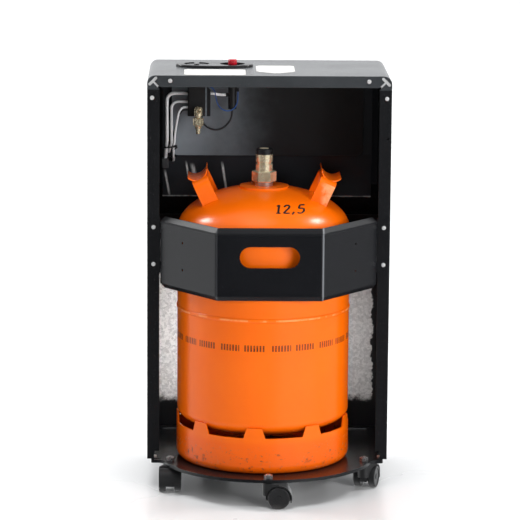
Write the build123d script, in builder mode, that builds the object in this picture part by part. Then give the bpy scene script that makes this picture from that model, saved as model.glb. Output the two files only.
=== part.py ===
from build123d import *
import os
from math import atan2, cos, pi, radians, sin, sqrt, tan

# Portable gas cabinet heater with its gas bottle, in millimetres.
# +X is to the right when the open back is seen, +Y points to the heater's front, +Z is up.
# The origin is on the floor, below the middle of the heater's plan.

# Castors
castor_count = 5
castor_height = 48.5
castor_circle_r = 178.0
castor_trail = 18.0
wheel_dia = 38.0
wheel_width = 12.5
wheel_side_gap = 0.8
hood_width = 39.0
hood_wall = 2.0
hood_gap = 1.4
hood_tail_z = 12.5
boss_r = 10.5
boss_bottom_z = 21.0
axle_dia = 4.0
running_gap = 0.05
swivel_gap = 0.3
stem_dia = 8.0
collar_dia = 13.0
collar_height = 5.0
nut_flats = 13.0
nut_height = 6.0
stem_tip = 1.5
castor_headings = [0.0, 72.0, 140.0, 40.0, 270.0]
stem_seat = 2.0
axle_inset = 2.5
wheel_edge_r = 2.2
wheel_dish = 1.0
wheel_rim = 4.5
wheel_hub_r = 5.0
wheel_cap = 1.5

# Base plate
base_sheet = 1.5
base_r = 190.0
base_setback = 44.0
base_rim_drop = 4.0
ear_inset = 7.0
ear_rear = 8.0
floor_front_gap = 4.0
ear_blend = 12.0
ear_tip_r = 4.0

# Cabinet
cab_width = 420.0
cab_depth = 240.0
cab_height = 675.0
sheet = 1.0
corner_r = 14.0
flange_width = 21.0
top_flange = 20.0
bottom_flange = 24.0
notch_height = 14.0
notch_width = 9.0
relief_length = 20.0
relief_width = 5.0
relief_inset = 9.8
slit_width = 3.4
slit_length = 12.0
screw_dia = 3.6
screw_head_dia = 7.4
screw_head_height = 2.4
screw_length = 8.0
screw_play = 0.3
top_screw_inset = 39.5
side_screw_drop = 38.5
gusset_sheet = 1.2
gusset_width = 17.0
gusset_leg = 52.0
gusset_gap = 0.5
flange_hole_drop = 108.0
flange_hole_dia = 3.5
base_screw_y = 14.0
base_screw_inset = 13.0

# Front
panel_height = 396.0
panel_return = 15.0
panel_gap = 0.3
window_side = 37.0
window_drop = 23.7
window_sill = 64.0
louvre_count = 6
louvre_length = 120.0
louvre_pitch = 15.0
louvre_width = 6.0
louvre_top_drop = 40.0
louvre_x = 90.0
window_corner_r = 8.0

# Burner unit
shield_setback = 172.0
shield_side = 40.0
shield_drop = 163.0
shield_corner_r = 12.0
shield_hem = 10.0
frame_setback = 188.0
frame_side = 23.0
frame_top_drop = 18.0
frame_knee_drop = 163.0
frame_below = 10.3
frame_rake = 14.0
skirt_height = 18.5
frame_flange = 13.0
head_count = 3
head_gap = 6.0
head_inset = 5.0
head_depth = 20.0
head_row_margin = 2.0
head_corner_r = 10.0
head_edge_r = 6.0
head_clearance = 1.0
plaque_rim = 7.0
plaque_thickness = 12.0
plaque_proud = 4.0
plaque_gap = 0.3
plaque_edge = 1.0
reflector_sheet = 0.8
reflector_margin = 4.0
reflector_lap = 1.0
guard_rod_dia = 4.0
guard_wire_dia = 2.6
guard_wire_count = 21
guard_stand = 10.0
guard_leg_dia = 3.6
guard_lap_x = 10.0
guard_lap_z = 9.0
guard_rod_corner_r = 14.0
guard_weld_gap = 0.05
guard_side_gap = 15.0
guard_leg_inset = 30.0
manifold_dia = 12.0
manifold_overhang = 12.0
manifold_drop = 9.0
main_run_gap = 3.8
main_run_y = 209.75
main_inlet_drop = 180.0
injector_dia = 7.0
injector_play = 0.5
pilot_inset = 12.0
pilot_rise = 16.7
pilot_nozzle_dia = 10.0
pilot_nozzle_height = 16.0
pilot_body = 12.0
pilot_edge = 1.5
pilot_shelf = 16.0
pilot_leaf = 12.0
pilot_sheet = 1.5
pilot_inlet_rise = 25.0
lead_hole_shift = 6.0
lead_hole_drop = 15.5
lead_hole_dia = 12.0
main_tube_play = 0.6
tube_hole_play = 1.0

# Controls on the top
bezel_side = 115.5
bezel_setback = 145.0
bezel_length = 136.0
bezel_width = 70.0
bezel_height = 4.0
bezel_edge_r = 2.5
bezel_floor = 2.0
cup_spacing = 63.0
cup_dia = 44.0
cup_depth = 10.0
cup_wall = 2.0
cutout_play = 1.0
knob_dia = 36.0
knob_grip_width = 9.0
knob_skirt = 4.0
knob_rise = 1.5
knob_edge_r = 1.5
knob_bore_wall = 3.0
knob_hub_dia = 12.0
knob_hub_drop = 10.5
knob_push = 3.5
knob_stop_gap = 1.0
hub_play = 1.0
tip_gap = 0.5
spindle_dia = 6.0
spindle_flat = 1.2
spindle_seat = 12.0
valve_drop = 26.0
valve_width = 31.0
valve_depth = 36.0
valve_corner_r = 3.0
valve_neck_dia = 18.0
valve_neck_height = 12.0
valve_bottom_drop = 87.0
button_dia = 15.6
button_rise = 8.0
button_cap_height = 9.0
button_edge_r = 2.0
button_travel = 6.0
plunger_dia = 8.0
plunger_length = 33.0
igniter_dia = 14.8
igniter_play = 0.2
igniter_bottom_drop = 76.0
igniter_flange_dia = 22.0
igniter_flange_height = 2.0
igniter_nut_dia = 21.0
igniter_nut_height = 4.0
terminal_reach = 4.0
terminal_size = 6.0
earth_terminal_drop = 51.0
blue_terminal_drop = 42.0
bracket_sheet = 1.5
bracket_strip = 9.0
bracket_strip_drop = 40.0
hanger_width = 12.0
hanger_drop = 14.0

# Gas inlet
elbow_dia = 15.0
elbow_setback = 118.0
elbow_shift = 3.0
elbow_top_drop = 69.0
elbow_height = 16.0
elbow_edge_r = 5.0
elbow_port_dia = 11.0
elbow_port_rise = 6.5
plug_dia = 8.4
plug_rise = 8.0
plug_stand = 1.5
plug_hole_dia = 3.4
plug_hole_depth = 4.0
nozzle_collar = 3.0
nozzle_flats = 16.0
nozzle_hex_height = 15.0
nozzle_edge = 1.5
nozzle_tail = 14.0
nozzle_root_dia = 13.0
nozzle_tip_dia = 9.0
nozzle_barb = 0.8
nozzle_bore = 5.0

# Tubes and leads
main_tube_dia = 6.0
main_tube_bend = 12.0
pilot_tube_dia = 4.5
pilot_tube_bend = 12.0
interrupter_dia = 3.6
thermocouple_dia = 2.4
sleeve_dia = 5.0
blue_lead_dia = 2.0
ignition_lead_dia = 3.4
lead_bend_share = 0.45
clip_width = 12.0
clip_depth = 15.0
clip_height = 17.0

# Guard band at the back
guard_sheet = 1.2
guard_side = 23.0
guard_face_half = 91.0
guard_reach = 126.0
guard_end_gap = 3.0
guard_bottom = 306.0
guard_height = 125.0
guard_lip = 10.0
guard_lip_inset = 6.0
guard_bend_r = 9.0
slot_length = 102.0
slot_height = 36.5
slot_rise = 75.5
slot_rim = 5.0
guard_hole_dia = 4.0
guard_hole_rises = [40.0, 87.0]
guard_hole_share = 0.6
stud_dia = 5.0
stud_head_dia = 9.0
stud_head_height = 1.5
stud_setback = 9.0
stud_rises = [28.0, 96.0]
hook_play = 0.5
hook_rest_gap = 0.3
hook_side_gap = 0.3
hook_below = 10.5
hook_above = 15.5
hook_edge = 3.5
bracket_rise = 26.0
bracket_height = 95.0
bracket_plate = 20.5
bracket_leg = 20.0
bracket_screw_inset = 11.0
bracket_screw_rises = [41.0, 106.0]
bracket_hole_rise = 71.0
bracket_hole_dia = 5.0

# Bottle
bottle_x = -8.0
bottle_setback = 36.0
bottle_dia = 300.0
bottle_wall = 3.0
bottle_head_height = 75.0
bottle_base_height = 40.0
bottle_lower_tangent = 89.0
bottle_upper_tangent = 405.0
weld_height = 269.5
weld_width = 7.0
weld_rise = 1.4
pad_dia = 86.0
pad_rise = 0.2
foot_wall = 3.0
foot_overhang = 1.0
foot_height = 82.0
foot_curl_r = 14.0
foot_lip = 4.0
window_count = 9
foot_window_width = 78.0
foot_window_base = 66.0
window_phase = 13.8
foot_window_height = 18.0
handle_foot_x = 92.0
handle_foot_z = 455.0
handle_lean = 25.0
handle_half_length = 52.0
handle_strip = 29.0
handle_wall = 3.0
handle_rise = 57.0
handle_dish = 11.0
handle_grip = 36.0
handle_bend_r = 12.0
handle_root = 25.0
bottle_bore = 20.0
neck_ring_dia = 31.0
neck_ring_height = 6.8
bottle_valve_root = 15.0
bottle_hex_flats = 37.0
bottle_hex_height = 19.0
bottle_hex_edge = 1.5
barrel_dia = 30.0
barrel_height = 29.0
groove_rise = 12.0
groove_depth = 1.6
groove_width = 4.0
mouth_dia = 17.0
mouth_depth = 12.0
cap_height = 10.0
cap_edge_r = 2.0

# Places worked out from the sizes above
wheel_r = wheel_dia / 2
axle_z = wheel_r
base_under = castor_height
base_top = base_under + base_sheet
cab_bottom = base_top
cab_top = cab_bottom + cab_height
rear_reach = castor_circle_r + hood_width / 2 - base_setback
front_reach = cab_depth + guard_stand + guard_rod_dia / 2
back = (rear_reach - front_reach) / 2
front = back + cab_depth
base_y = back + base_setback
hood_top = castor_height - collar_height - swivel_gap
web_width = hood_width - 2 * wheel_width - 2 * wheel_side_gap
inner_half = cab_width / 2 - sheet
ear_reach = cab_width / 2 - ear_inset
window_width = cab_width - 2 * window_side
head_pitch = (window_width - 2 * head_row_margin) / head_count
head_width = head_pitch - head_gap
plaque_width = head_width - 2 * plaque_rim
frame_half_width = cab_width / 2 - frame_side
guard_half_width = cab_width / 2 - guard_side
pilot_x = pilot_inset - frame_half_width
opening_half = cab_width / 2 - flange_width
bezel_y = back + bezel_setback
bezel_x = bezel_side - cab_width / 2
knob_x = bezel_x - cup_spacing / 2
button_x = bezel_x + cup_spacing / 2
bezel_top = cab_top + bezel_height
cup_floor_top = bezel_top - cup_depth
valve_top = bezel_top - valve_drop
valve_bottom = cab_top - valve_bottom_drop
elbow_y = back + elbow_setback
elbow_x = knob_x + elbow_shift
shield_y = back + shield_setback
frame_y = back + frame_setback
guard_z = cab_bottom + guard_bottom
bottle_y = back + bottle_setback
bottle_r = bottle_dia / 2


def rear_plane(y):
    """Upright plane at y, seen from behind: its x is +X and its y is +Z."""
    return Plane.XZ.offset(-y)


def side_plane(x):
    """Upright plane at x, seen from the right: its x is +Y and its y is +Z."""
    return Plane.YZ.offset(x)


def save(piece, name):
    """Label a finished piece and write it as its own STEP file."""
    piece.part.label = name
    export_step(piece.part, f"parts/{name}.step")


os.makedirs("parts", exist_ok=True)


# Base plate: the cabinet's floor in one sheet with a round tray behind it and a turned-down rim.
def base_outline(inset):
    """Plan of the base plate, drawn in from its edge by inset."""
    rear_edge = back - ear_rear + inset
    front_edge = front - floor_front_gap - inset
    with BuildSketch() as outline:
        with Locations((0, base_y)):
            Circle(base_r - inset)
        with Locations((0, (rear_edge + front_edge) / 2)):
            Rectangle(2 * (ear_reach - inset), front_edge - rear_edge)
        tips = outline.vertices().filter_by(lambda v: abs(v.X) > ear_reach - inset - 1)
        fillet(tips, ear_tip_r - inset)
        rear_row = outline.vertices().filter_by(lambda v: abs(v.Y - rear_edge) < running_gap)
        roots = rear_row.filter_by(lambda v: abs(v.X) < base_r - inset)
        fillet(roots, ear_blend + inset)
    return outline.sketch


def castor_angle(index):
    """Where a castor stands on its circle; the first one is at the back."""
    return radians(270 + index * 360 / castor_count)


castor_spots = [
    (castor_circle_r * cos(castor_angle(i)), base_y + castor_circle_r * sin(castor_angle(i)))
    for i in range(castor_count)
]
base_screw_spots = [(side * (cab_width / 2 - base_screw_inset), back + base_screw_y) for side in (-1, 1)]

full_plan = base_outline(0)
inner_plan = base_outline(base_sheet)
with BuildPart() as base_plate:
    with BuildSketch(Plane.XY.offset(base_under - base_rim_drop)):
        add(full_plan)
    extrude(amount=base_rim_drop + base_sheet)
    with BuildSketch(Plane.XY.offset(base_under - base_rim_drop)):
        add(inner_plan)
    extrude(amount=base_rim_drop, mode=Mode.SUBTRACT)
    with BuildSketch(Plane.XY.offset(base_under)):
        with Locations(*castor_spots):
            Circle(stem_dia / 2 + screw_play)
        with Locations(*base_screw_spots):
            Circle(screw_dia / 2 + screw_play)
    extrude(amount=base_sheet, mode=Mode.SUBTRACT)
save(base_plate, "base_plate")


# Castors: threaded stem and nut on the plate, moulded hood, steel axle and two wheels.
with BuildPart() as castor_stems:
    with BuildSketch(Plane.XY.offset(boss_bottom_z + stem_seat)):
        with Locations(*castor_spots):
            Circle(stem_dia / 2)
    extrude(amount=base_top + nut_height + stem_tip - boss_bottom_z - stem_seat)
    with BuildSketch(Plane.XY.offset(castor_height - collar_height)):
        with Locations(*castor_spots):
            Circle(collar_dia / 2)
    extrude(amount=collar_height)
save(castor_stems, "castor_stems")

with BuildPart() as castor_nuts:
    with BuildSketch(Plane.XY.offset(base_top)):
        with Locations(*castor_spots):
            RegularPolygon(nut_flats / 2, 6, major_radius=False)
            Circle(stem_dia / 2, mode=Mode.SUBTRACT)
    extrude(amount=nut_height)
save(castor_nuts, "castor_nuts")


def castor_plane(index):
    """Upright plane through a castor's stem; its x is the way the wheels trail."""
    heading = radians(castor_headings[index])
    spot = castor_spots[index]
    return Plane(
        origin=(spot[0], spot[1], 0),
        x_dir=(cos(heading), sin(heading), 0),
        z_dir=(sin(heading), -cos(heading), 0),
    )


def castor_hood(plane):
    """Moulded hood: boss round the stem, web between the wheels and a roof over them."""
    hood_r = wheel_r + hood_gap + hood_wall
    plan = Plane(origin=plane.origin, x_dir=plane.x_dir, z_dir=(0, 0, 1))
    with BuildPart() as hood:
        with BuildSketch(plane):
            with Locations((castor_trail, axle_z)):
                Circle(hood_r)
            with BuildLine():
                Polyline(
                    (-boss_r, boss_bottom_z),
                    (-boss_r, hood_top),
                    (castor_trail, hood_top),
                    (castor_trail, boss_bottom_z),
                    close=True,
                )
            make_face()
            with Locations((castor_trail, hood_tail_z - hood_r / 2)):
                Rectangle(3 * hood_r, hood_r, mode=Mode.SUBTRACT)
        extrude(amount=hood_width / 2, both=True)
        with BuildSketch(plan):
            Circle(boss_r)
            with Locations((castor_trail + hood_r / 2, 0)):
                RectangleRounded(hood_r + 6, hood_width, 5)
            make_hull()
        extrude(amount=castor_height, mode=Mode.INTERSECT)
        for side in (-1, 1):
            with BuildSketch(plane.offset(side * web_width / 2)):
                with Locations((castor_trail, axle_z)):
                    Circle(wheel_r + hood_gap)
                with Locations((0, boss_bottom_z / 2)):
                    Rectangle(2 * (castor_trail - 2), boss_bottom_z)
            extrude(amount=side * hood_width, mode=Mode.SUBTRACT)
        with BuildSketch(Plane.XY.offset(boss_bottom_z + stem_seat - running_gap)):
            with Locations((plane.origin.X, plane.origin.Y)):
                Circle(stem_dia / 2 + running_gap)
        extrude(amount=castor_height, mode=Mode.SUBTRACT)
        with BuildSketch(plane):
            with Locations((castor_trail, axle_z)):
                Circle(axle_dia / 2)
        extrude(amount=web_width, both=True, mode=Mode.SUBTRACT)
    return hood


def castor_axle(plane):
    """Steel axle pressed through the web, with the wheels running on its ends."""
    with BuildPart() as axle:
        with BuildSketch(plane):
            with Locations((castor_trail, axle_z)):
                Circle(axle_dia / 2)
        extrude(amount=hood_width / 2 - axle_inset, both=True)
    return axle


def castor_wheels(plane):
    """Two moulded wheels with rounded treads and a dished outer face."""
    with BuildPart() as wheels:
        for side in (-1, 1):
            inner = web_width / 2 + wheel_side_gap
            with BuildPart(mode=Mode.PRIVATE) as wheel:
                with BuildSketch(plane.offset(side * inner)):
                    with Locations((castor_trail, axle_z)):
                        Circle(wheel_r)
                extrude(amount=side * wheel_width)
                fillet(wheel.edges().filter_by(GeomType.CIRCLE), wheel_edge_r)
                with BuildSketch(plane.offset(side * (inner + wheel_width))):
                    with Locations((castor_trail, axle_z)):
                        Circle(wheel_r - wheel_rim)
                        Circle(wheel_hub_r, mode=Mode.SUBTRACT)
                extrude(amount=-side * wheel_dish, mode=Mode.SUBTRACT)
                with BuildSketch(plane.offset(side * inner)):
                    with Locations((castor_trail, axle_z)):
                        Circle(axle_dia / 2 + running_gap)
                extrude(amount=side * (wheel_width - wheel_cap), mode=Mode.SUBTRACT)
            add(wheel.part)
    return wheels


for index in range(castor_count):
    place = castor_plane(index)
    save(castor_hood(place), f"castor_{index + 1}_hood")
    save(castor_axle(place), f"castor_{index + 1}_axle")
    save(castor_wheels(place), f"castor_{index + 1}_wheels")


# Cabinet wrapper: one sheet bent into the two sides and the top, with flanges round the back.
def wrapper_outline(width, height, radius):
    """Upside-down U of the wrapper, filled in, with round top corners."""
    with BuildSketch() as outline:
        with Locations((0, cab_bottom + height / 2)):
            Rectangle(width, height)
        fillet(outline.vertices().group_by(Axis.Y)[-1], radius)
    return outline.sketch


outer_u = wrapper_outline(cab_width, cab_height, corner_r)
inner_u = wrapper_outline(cab_width - 2 * sheet, cab_height - sheet, corner_r - sheet)
top_screw_z = cab_top - top_flange / 2 + 1
side_screw_x = cab_width / 2 - 8.5
side_screw_z = cab_top - side_screw_drop
right_screw_spots = [(cab_width / 2 - top_screw_inset, top_screw_z), (side_screw_x, side_screw_z)]
flange_screw_spots = [(side * x, z) for side in (-1, 1) for x, z in right_screw_spots]
bracket_screw_x = cab_width / 2 - bracket_screw_inset
bracket_screw_zs = [guard_z + rise for rise in bracket_screw_rises]
bracket_screw_spots = [(side * bracket_screw_x, z) for side in (-1, 1) for z in bracket_screw_zs]
notch_spots = [(side * (opening_half + notch_width / 2), cab_bottom + notch_height / 2) for side in (-1, 1)]
cutout_width = cup_dia + 2 * cup_wall + 2 * cutout_play
relief_x = cab_width / 2 - relief_inset
relief_z = cab_top - relief_inset

with BuildPart() as cabinet_wrapper:
    with BuildSketch(rear_plane(back)):
        add(outer_u)
        add(inner_u, mode=Mode.SUBTRACT)
    extrude(amount=cab_depth, dir=(0, 1, 0))
    with BuildSketch(rear_plane(back)):
        add(outer_u)
        with Locations((0, cab_bottom + (cab_height - top_flange) / 2)):
            Rectangle(2 * opening_half, cab_height - top_flange, mode=Mode.SUBTRACT)
        with Locations(*notch_spots):
            Rectangle(notch_width, notch_height, mode=Mode.SUBTRACT)
        for side in (-1, 1):
            with Locations(Location((side * relief_x, relief_z), side * -45)):
                SlotOverall(relief_length, relief_width, mode=Mode.SUBTRACT)
            slit_x = side * (relief_x - slit_length / 2)
            with Locations(Location((slit_x, relief_z - slit_length / 2), side * 45)):
                Rectangle(slit_length * sqrt(2), slit_width, mode=Mode.SUBTRACT)
        with Locations(*flange_screw_spots, *bracket_screw_spots):
            Circle(screw_dia / 2 + screw_play, mode=Mode.SUBTRACT)
        with Locations(*[(side * (cab_width / 2 - 6), cab_top - flange_hole_drop) for side in (-1, 1)]):
            Circle(flange_hole_dia / 2, mode=Mode.SUBTRACT)
    extrude(amount=sheet, dir=(0, 1, 0))
    with BuildSketch(Plane.XY.offset(cab_bottom)):
        with Locations(*[(side * (cab_width - bottom_flange) / 2, back + cab_depth / 2) for side in (-1, 1)]):
            Rectangle(bottom_flange, cab_depth)
        with Locations(*base_screw_spots):
            Circle(screw_dia / 2 + screw_play, mode=Mode.SUBTRACT)
    extrude(amount=sheet)
    with BuildSketch(Plane.XY.offset(cab_top)):
        with Locations((bezel_x, bezel_y)):
            SlotOverall(cup_spacing + cutout_width, cutout_width)
    extrude(amount=-sheet, mode=Mode.SUBTRACT)
save(cabinet_wrapper, "cabinet_wrapper")


def corner_gusset(side):
    """Zinc angle behind one upper corner of the back flange."""
    reach = inner_half - gusset_gap
    top = cab_top - sheet - gusset_gap
    with BuildPart() as gusset:
        with BuildSketch(rear_plane(back + sheet)) as plan:
            with BuildLine():
                Polyline(
                    (side * reach, top),
                    (side * (reach - gusset_leg), top),
                    (side * (reach - gusset_leg), top - gusset_width),
                    (side * (reach - gusset_width), top - gusset_width),
                    (side * (reach - gusset_width), top - gusset_leg),
                    (side * reach, top - gusset_leg),
                    close=True,
                )
            make_face()
            corner = plan.vertices().sort_by(lambda v: abs(v.X) + v.Y)[-1]
            fillet(corner, corner_r)
            with Locations(*[spot for spot in flange_screw_spots if spot[0] * side > 0]):
                Circle(screw_dia / 2 + screw_play, mode=Mode.SUBTRACT)
        extrude(amount=gusset_sheet, dir=(0, 1, 0))
    return gusset


with BuildPart() as corner_gussets:
    for side in (-1, 1):
        add(corner_gusset(side).part)
save(corner_gussets, "corner_gussets")


def sheet_screw(seat):
    """Pan-head screw with its head on the seat plane and its shank behind it."""
    with BuildPart() as screw:
        with BuildSketch(seat):
            Circle(screw_head_dia / 2)
        extrude(amount=screw_head_height)
        fillet(screw.edges().sort_by(Axis(seat.origin, seat.z_dir))[-1], screw_head_height * 0.6)
        with BuildSketch(seat):
            Circle(screw_dia / 2)
        extrude(amount=-screw_length)
    return screw


screw_seats = [Plane(origin=(x, back, z), z_dir=(0, -1, 0)) for x, z in flange_screw_spots]
screw_seats += [Plane(origin=(x, back - guard_sheet, z), z_dir=(0, -1, 0)) for x, z in bracket_screw_spots]
screw_seats += [Plane(origin=(x, y, cab_bottom + sheet)) for x, y in base_screw_spots]
with BuildPart() as cabinet_screws:
    for seat in screw_seats:
        add(sheet_screw(seat).part)
save(cabinet_screws, "cabinet_screws")


# Front: a louvred lower panel and a surround with the burner window, both with returned edges.
def front_tray(width, height, bottom, top_r):
    """Pressed front panel: a face sheet with returns that point back into the cabinet."""
    with BuildPart() as tray:
        with BuildSketch(rear_plane(front - panel_return)) as face:
            with Locations((0, bottom + height / 2)):
                Rectangle(width, height)
            if top_r:
                fillet(face.vertices().group_by(Axis.Y)[-1], top_r)
        extrude(amount=panel_return, dir=(0, 1, 0))
        with BuildSketch(rear_plane(front - panel_return)) as hollow:
            with Locations((0, bottom + height / 2)):
                Rectangle(width - 2 * sheet, height - 2 * sheet)
            if top_r:
                fillet(hollow.vertices().group_by(Axis.Y)[-1], top_r - sheet)
        extrude(amount=panel_return - sheet, dir=(0, 1, 0), mode=Mode.SUBTRACT)
    return tray.part


tray_width = 2 * (inner_half - panel_gap)
panel_bottom = cab_bottom + sheet
surround_bottom = panel_bottom + panel_height + panel_gap
surround_top = cab_top - sheet - panel_gap
louvre_rows = [panel_bottom + panel_height - louvre_top_drop - n * louvre_pitch for n in range(louvre_count)]
louvre_rows_low = [panel_bottom + louvre_top_drop + n * louvre_pitch for n in range(louvre_count)]
louvre_spots = [(side * louvre_x, z) for side in (-1, 1) for z in louvre_rows + louvre_rows_low]
lower_tray = front_tray(tray_width, panel_height, panel_bottom, 0)
with BuildPart() as front_panel:
    add(lower_tray)
    with BuildSketch(rear_plane(front)):
        with Locations(*louvre_spots):
            SlotOverall(louvre_length, louvre_width)
    extrude(amount=2 * sheet, dir=(0, -1, 0), mode=Mode.SUBTRACT)
save(front_panel, "front_panel")

window_bottom = surround_bottom + window_sill
window_height = cab_top - window_drop - window_bottom
window_centre = window_bottom + window_height / 2
upper_tray = front_tray(tray_width, surround_top - surround_bottom, surround_bottom, corner_r - sheet)
with BuildPart() as burner_surround:
    add(upper_tray)
    with BuildSketch(rear_plane(front)):
        with Locations((0, window_centre)):
            RectangleRounded(window_width, window_height, window_corner_r)
    extrude(amount=2 * sheet, dir=(0, -1, 0), mode=Mode.SUBTRACT)
save(burner_surround, "burner_surround")

# Burner unit: heat shield, bent frame, three heads with their plaques, reflector and gas rail.
shield_bottom = cab_top - shield_drop
shield_top = cab_top - sheet
shield_width = cab_width - 2 * shield_side
with BuildPart() as heat_shield:
    with BuildSketch(rear_plane(shield_y)) as plan:
        with Locations((0, (shield_bottom + shield_top) / 2)):
            Rectangle(shield_width, shield_top - shield_bottom)
        fillet(plan.vertices().group_by(Axis.Y)[0], shield_corner_r)
    extrude(amount=sheet, dir=(0, 1, 0))
    with BuildSketch(Plane.XY.offset(shield_top)):
        with Locations((0, shield_y + shield_hem / 2)):
            Rectangle(shield_width, shield_hem)
    extrude(amount=-sheet)
save(heat_shield, "heat_shield")

frame_top = cab_top - frame_top_drop
frame_knee = cab_top - frame_knee_drop
frame_bottom = window_bottom - frame_below
frame_height = frame_top - frame_bottom
skirt_slope = frame_rake / (frame_knee - frame_bottom)
skirt_back = frame_y + frame_rake + skirt_height * skirt_slope
frame_front = front - sheet
head_back = frame_y + frame_rake + sheet + head_clearance
head_front = head_back + head_depth
head_height = window_height - 2 * head_inset
head_bottom = window_centre - head_height / 2
plaque_height = head_height - 2 * plaque_rim
head_spots = [(n - (head_count - 1) / 2) * head_pitch for n in range(head_count)]
rail_y = (head_back + head_front) / 2
rail_z = frame_bottom - manifold_drop
pilot_y = head_front - head_edge_r / 2
pilot_z = window_bottom + pilot_rise
pilot_inlet_z = pilot_z + pilot_nozzle_height + pilot_inlet_rise
lead_hole_z = pilot_inlet_z - lead_hole_drop
frame_back_line = [(frame_front, frame_top), (frame_y, frame_top), (frame_y, frame_knee)]
frame_back_line += [(frame_y + frame_rake, frame_bottom), (frame_front, frame_bottom)]
frame_inner_line = [(frame_front, frame_bottom + sheet), (frame_y + frame_rake + sheet, frame_bottom + sheet)]
frame_inner_line += [(frame_y + sheet, frame_knee), (frame_y + sheet, frame_top - sheet)]
frame_inner_line += [(frame_front, frame_top - sheet)]
main_run_x = main_run_gap + sheet - frame_half_width
main_inlet_z = cab_top - main_inlet_drop
main_hole = main_tube_dia / 2 + main_tube_play
with BuildPart() as burner_frame:
    with BuildSketch(side_plane(-frame_half_width)):
        with BuildLine():
            Polyline(*frame_back_line, *frame_inner_line, close=True)
        make_face()
    extrude(amount=2 * frame_half_width)
    with BuildSketch(side_plane(-frame_half_width)):
        with BuildLine():
            Polyline(
                (frame_y + frame_rake, frame_bottom),
                (skirt_back, frame_bottom - skirt_height),
                (skirt_back + sheet, frame_bottom - skirt_height),
                (frame_y + frame_rake + sheet, frame_bottom),
                close=True,
            )
        make_face()
    extrude(amount=2 * frame_half_width)
    for side in (-1, 1):
        with BuildSketch(side_plane(side * frame_half_width)):
            with BuildLine():
                Polyline(*frame_back_line, close=True)
            make_face()
        extrude(amount=-side * sheet)
        with BuildSketch(rear_plane(frame_front)):
            with Locations((side * (frame_half_width + frame_flange / 2), (frame_top + frame_bottom) / 2)):
                Rectangle(frame_flange, frame_height)
        extrude(amount=sheet, dir=(0, -1, 0))
    with BuildSketch(rear_plane(frame_y)):
        with Locations((pilot_x, pilot_inlet_z)):
            Circle(pilot_tube_dia / 2 + tube_hole_play)
        with Locations((pilot_x + lead_hole_shift, lead_hole_z)):
            Circle(lead_hole_dia / 2)
        with Locations((main_run_x, main_inlet_z)):
            Circle(main_hole)
    extrude(amount=frame_rake, dir=(0, 1, 0), mode=Mode.SUBTRACT)
    with BuildSketch(Plane.XY.offset(frame_bottom)):
        with Locations(*[(x, rail_y) for x in head_spots]):
            Circle(injector_dia / 2 + injector_play)
        with Locations((main_run_x, back + main_run_y)):
            Circle(main_hole)
    extrude(amount=sheet, mode=Mode.SUBTRACT)
save(burner_frame, "burner_frame")


def burner_head(x):
    """Pressed steel mixing box with round edges and a seat for its plaque."""
    with BuildPart() as head:
        with BuildSketch(rear_plane(head_back)):
            with Locations((x, window_centre)):
                RectangleRounded(head_width, head_height, head_corner_r)
        extrude(amount=head_depth, dir=(0, 1, 0))
        fillet(head.faces().sort_by(Axis.Y)[0].edges(), head_edge_r)
        with BuildSketch(rear_plane(head_front)):
            with Locations((x, window_centre)):
                Rectangle(plaque_width + 2 * plaque_gap, plaque_height + 2 * plaque_gap)
        extrude(amount=plaque_thickness - plaque_proud, dir=(0, -1, 0), mode=Mode.SUBTRACT)
    return head


def ceramic_plaque(x):
    """Ceramic tile seated in its head, standing a little proud of it."""
    with BuildPart() as plaque:
        with BuildSketch(rear_plane(head_front + plaque_proud)):
            with Locations((x, window_centre)):
                Rectangle(plaque_width, plaque_height)
        extrude(amount=plaque_thickness, dir=(0, -1, 0))
        chamfer(plaque.faces().sort_by(Axis.Y)[-1].edges(), plaque_edge)
    return plaque


with BuildPart() as burner_heads:
    for x in head_spots:
        add(burner_head(x).part)
save(burner_heads, "burner_heads")

with BuildPart() as ceramic_plaques:
    for x in head_spots:
        add(ceramic_plaque(x).part)
save(ceramic_plaques, "ceramic_plaques")


# Reflector: bright tapered frame between the heads and the window.
def reflector_block(skin):
    """Tapered block that fills the reflector out to skin beyond its bright face."""
    back_width = (head_count - 1) * head_pitch + plaque_width + 2 * reflector_margin
    back_height = plaque_height + 2 * reflector_margin
    lap = reflector_lap + skin
    with BuildPart() as block:
        with BuildSketch(rear_plane(head_front)):
            with Locations((0, window_centre)):
                Rectangle(back_width + 2 * skin, back_height + 2 * skin)
        with BuildSketch(rear_plane(frame_front)):
            with Locations((0, window_centre)):
                Rectangle(window_width + 2 * lap, window_height + 2 * lap)
        loft(ruled=True)
    return block.part


reflector_outside = reflector_block(reflector_sheet)
reflector_inside = reflector_block(0)
with BuildPart() as reflector:
    add(reflector_outside)
    add(reflector_inside, mode=Mode.SUBTRACT)
save(reflector, "reflector")

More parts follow.
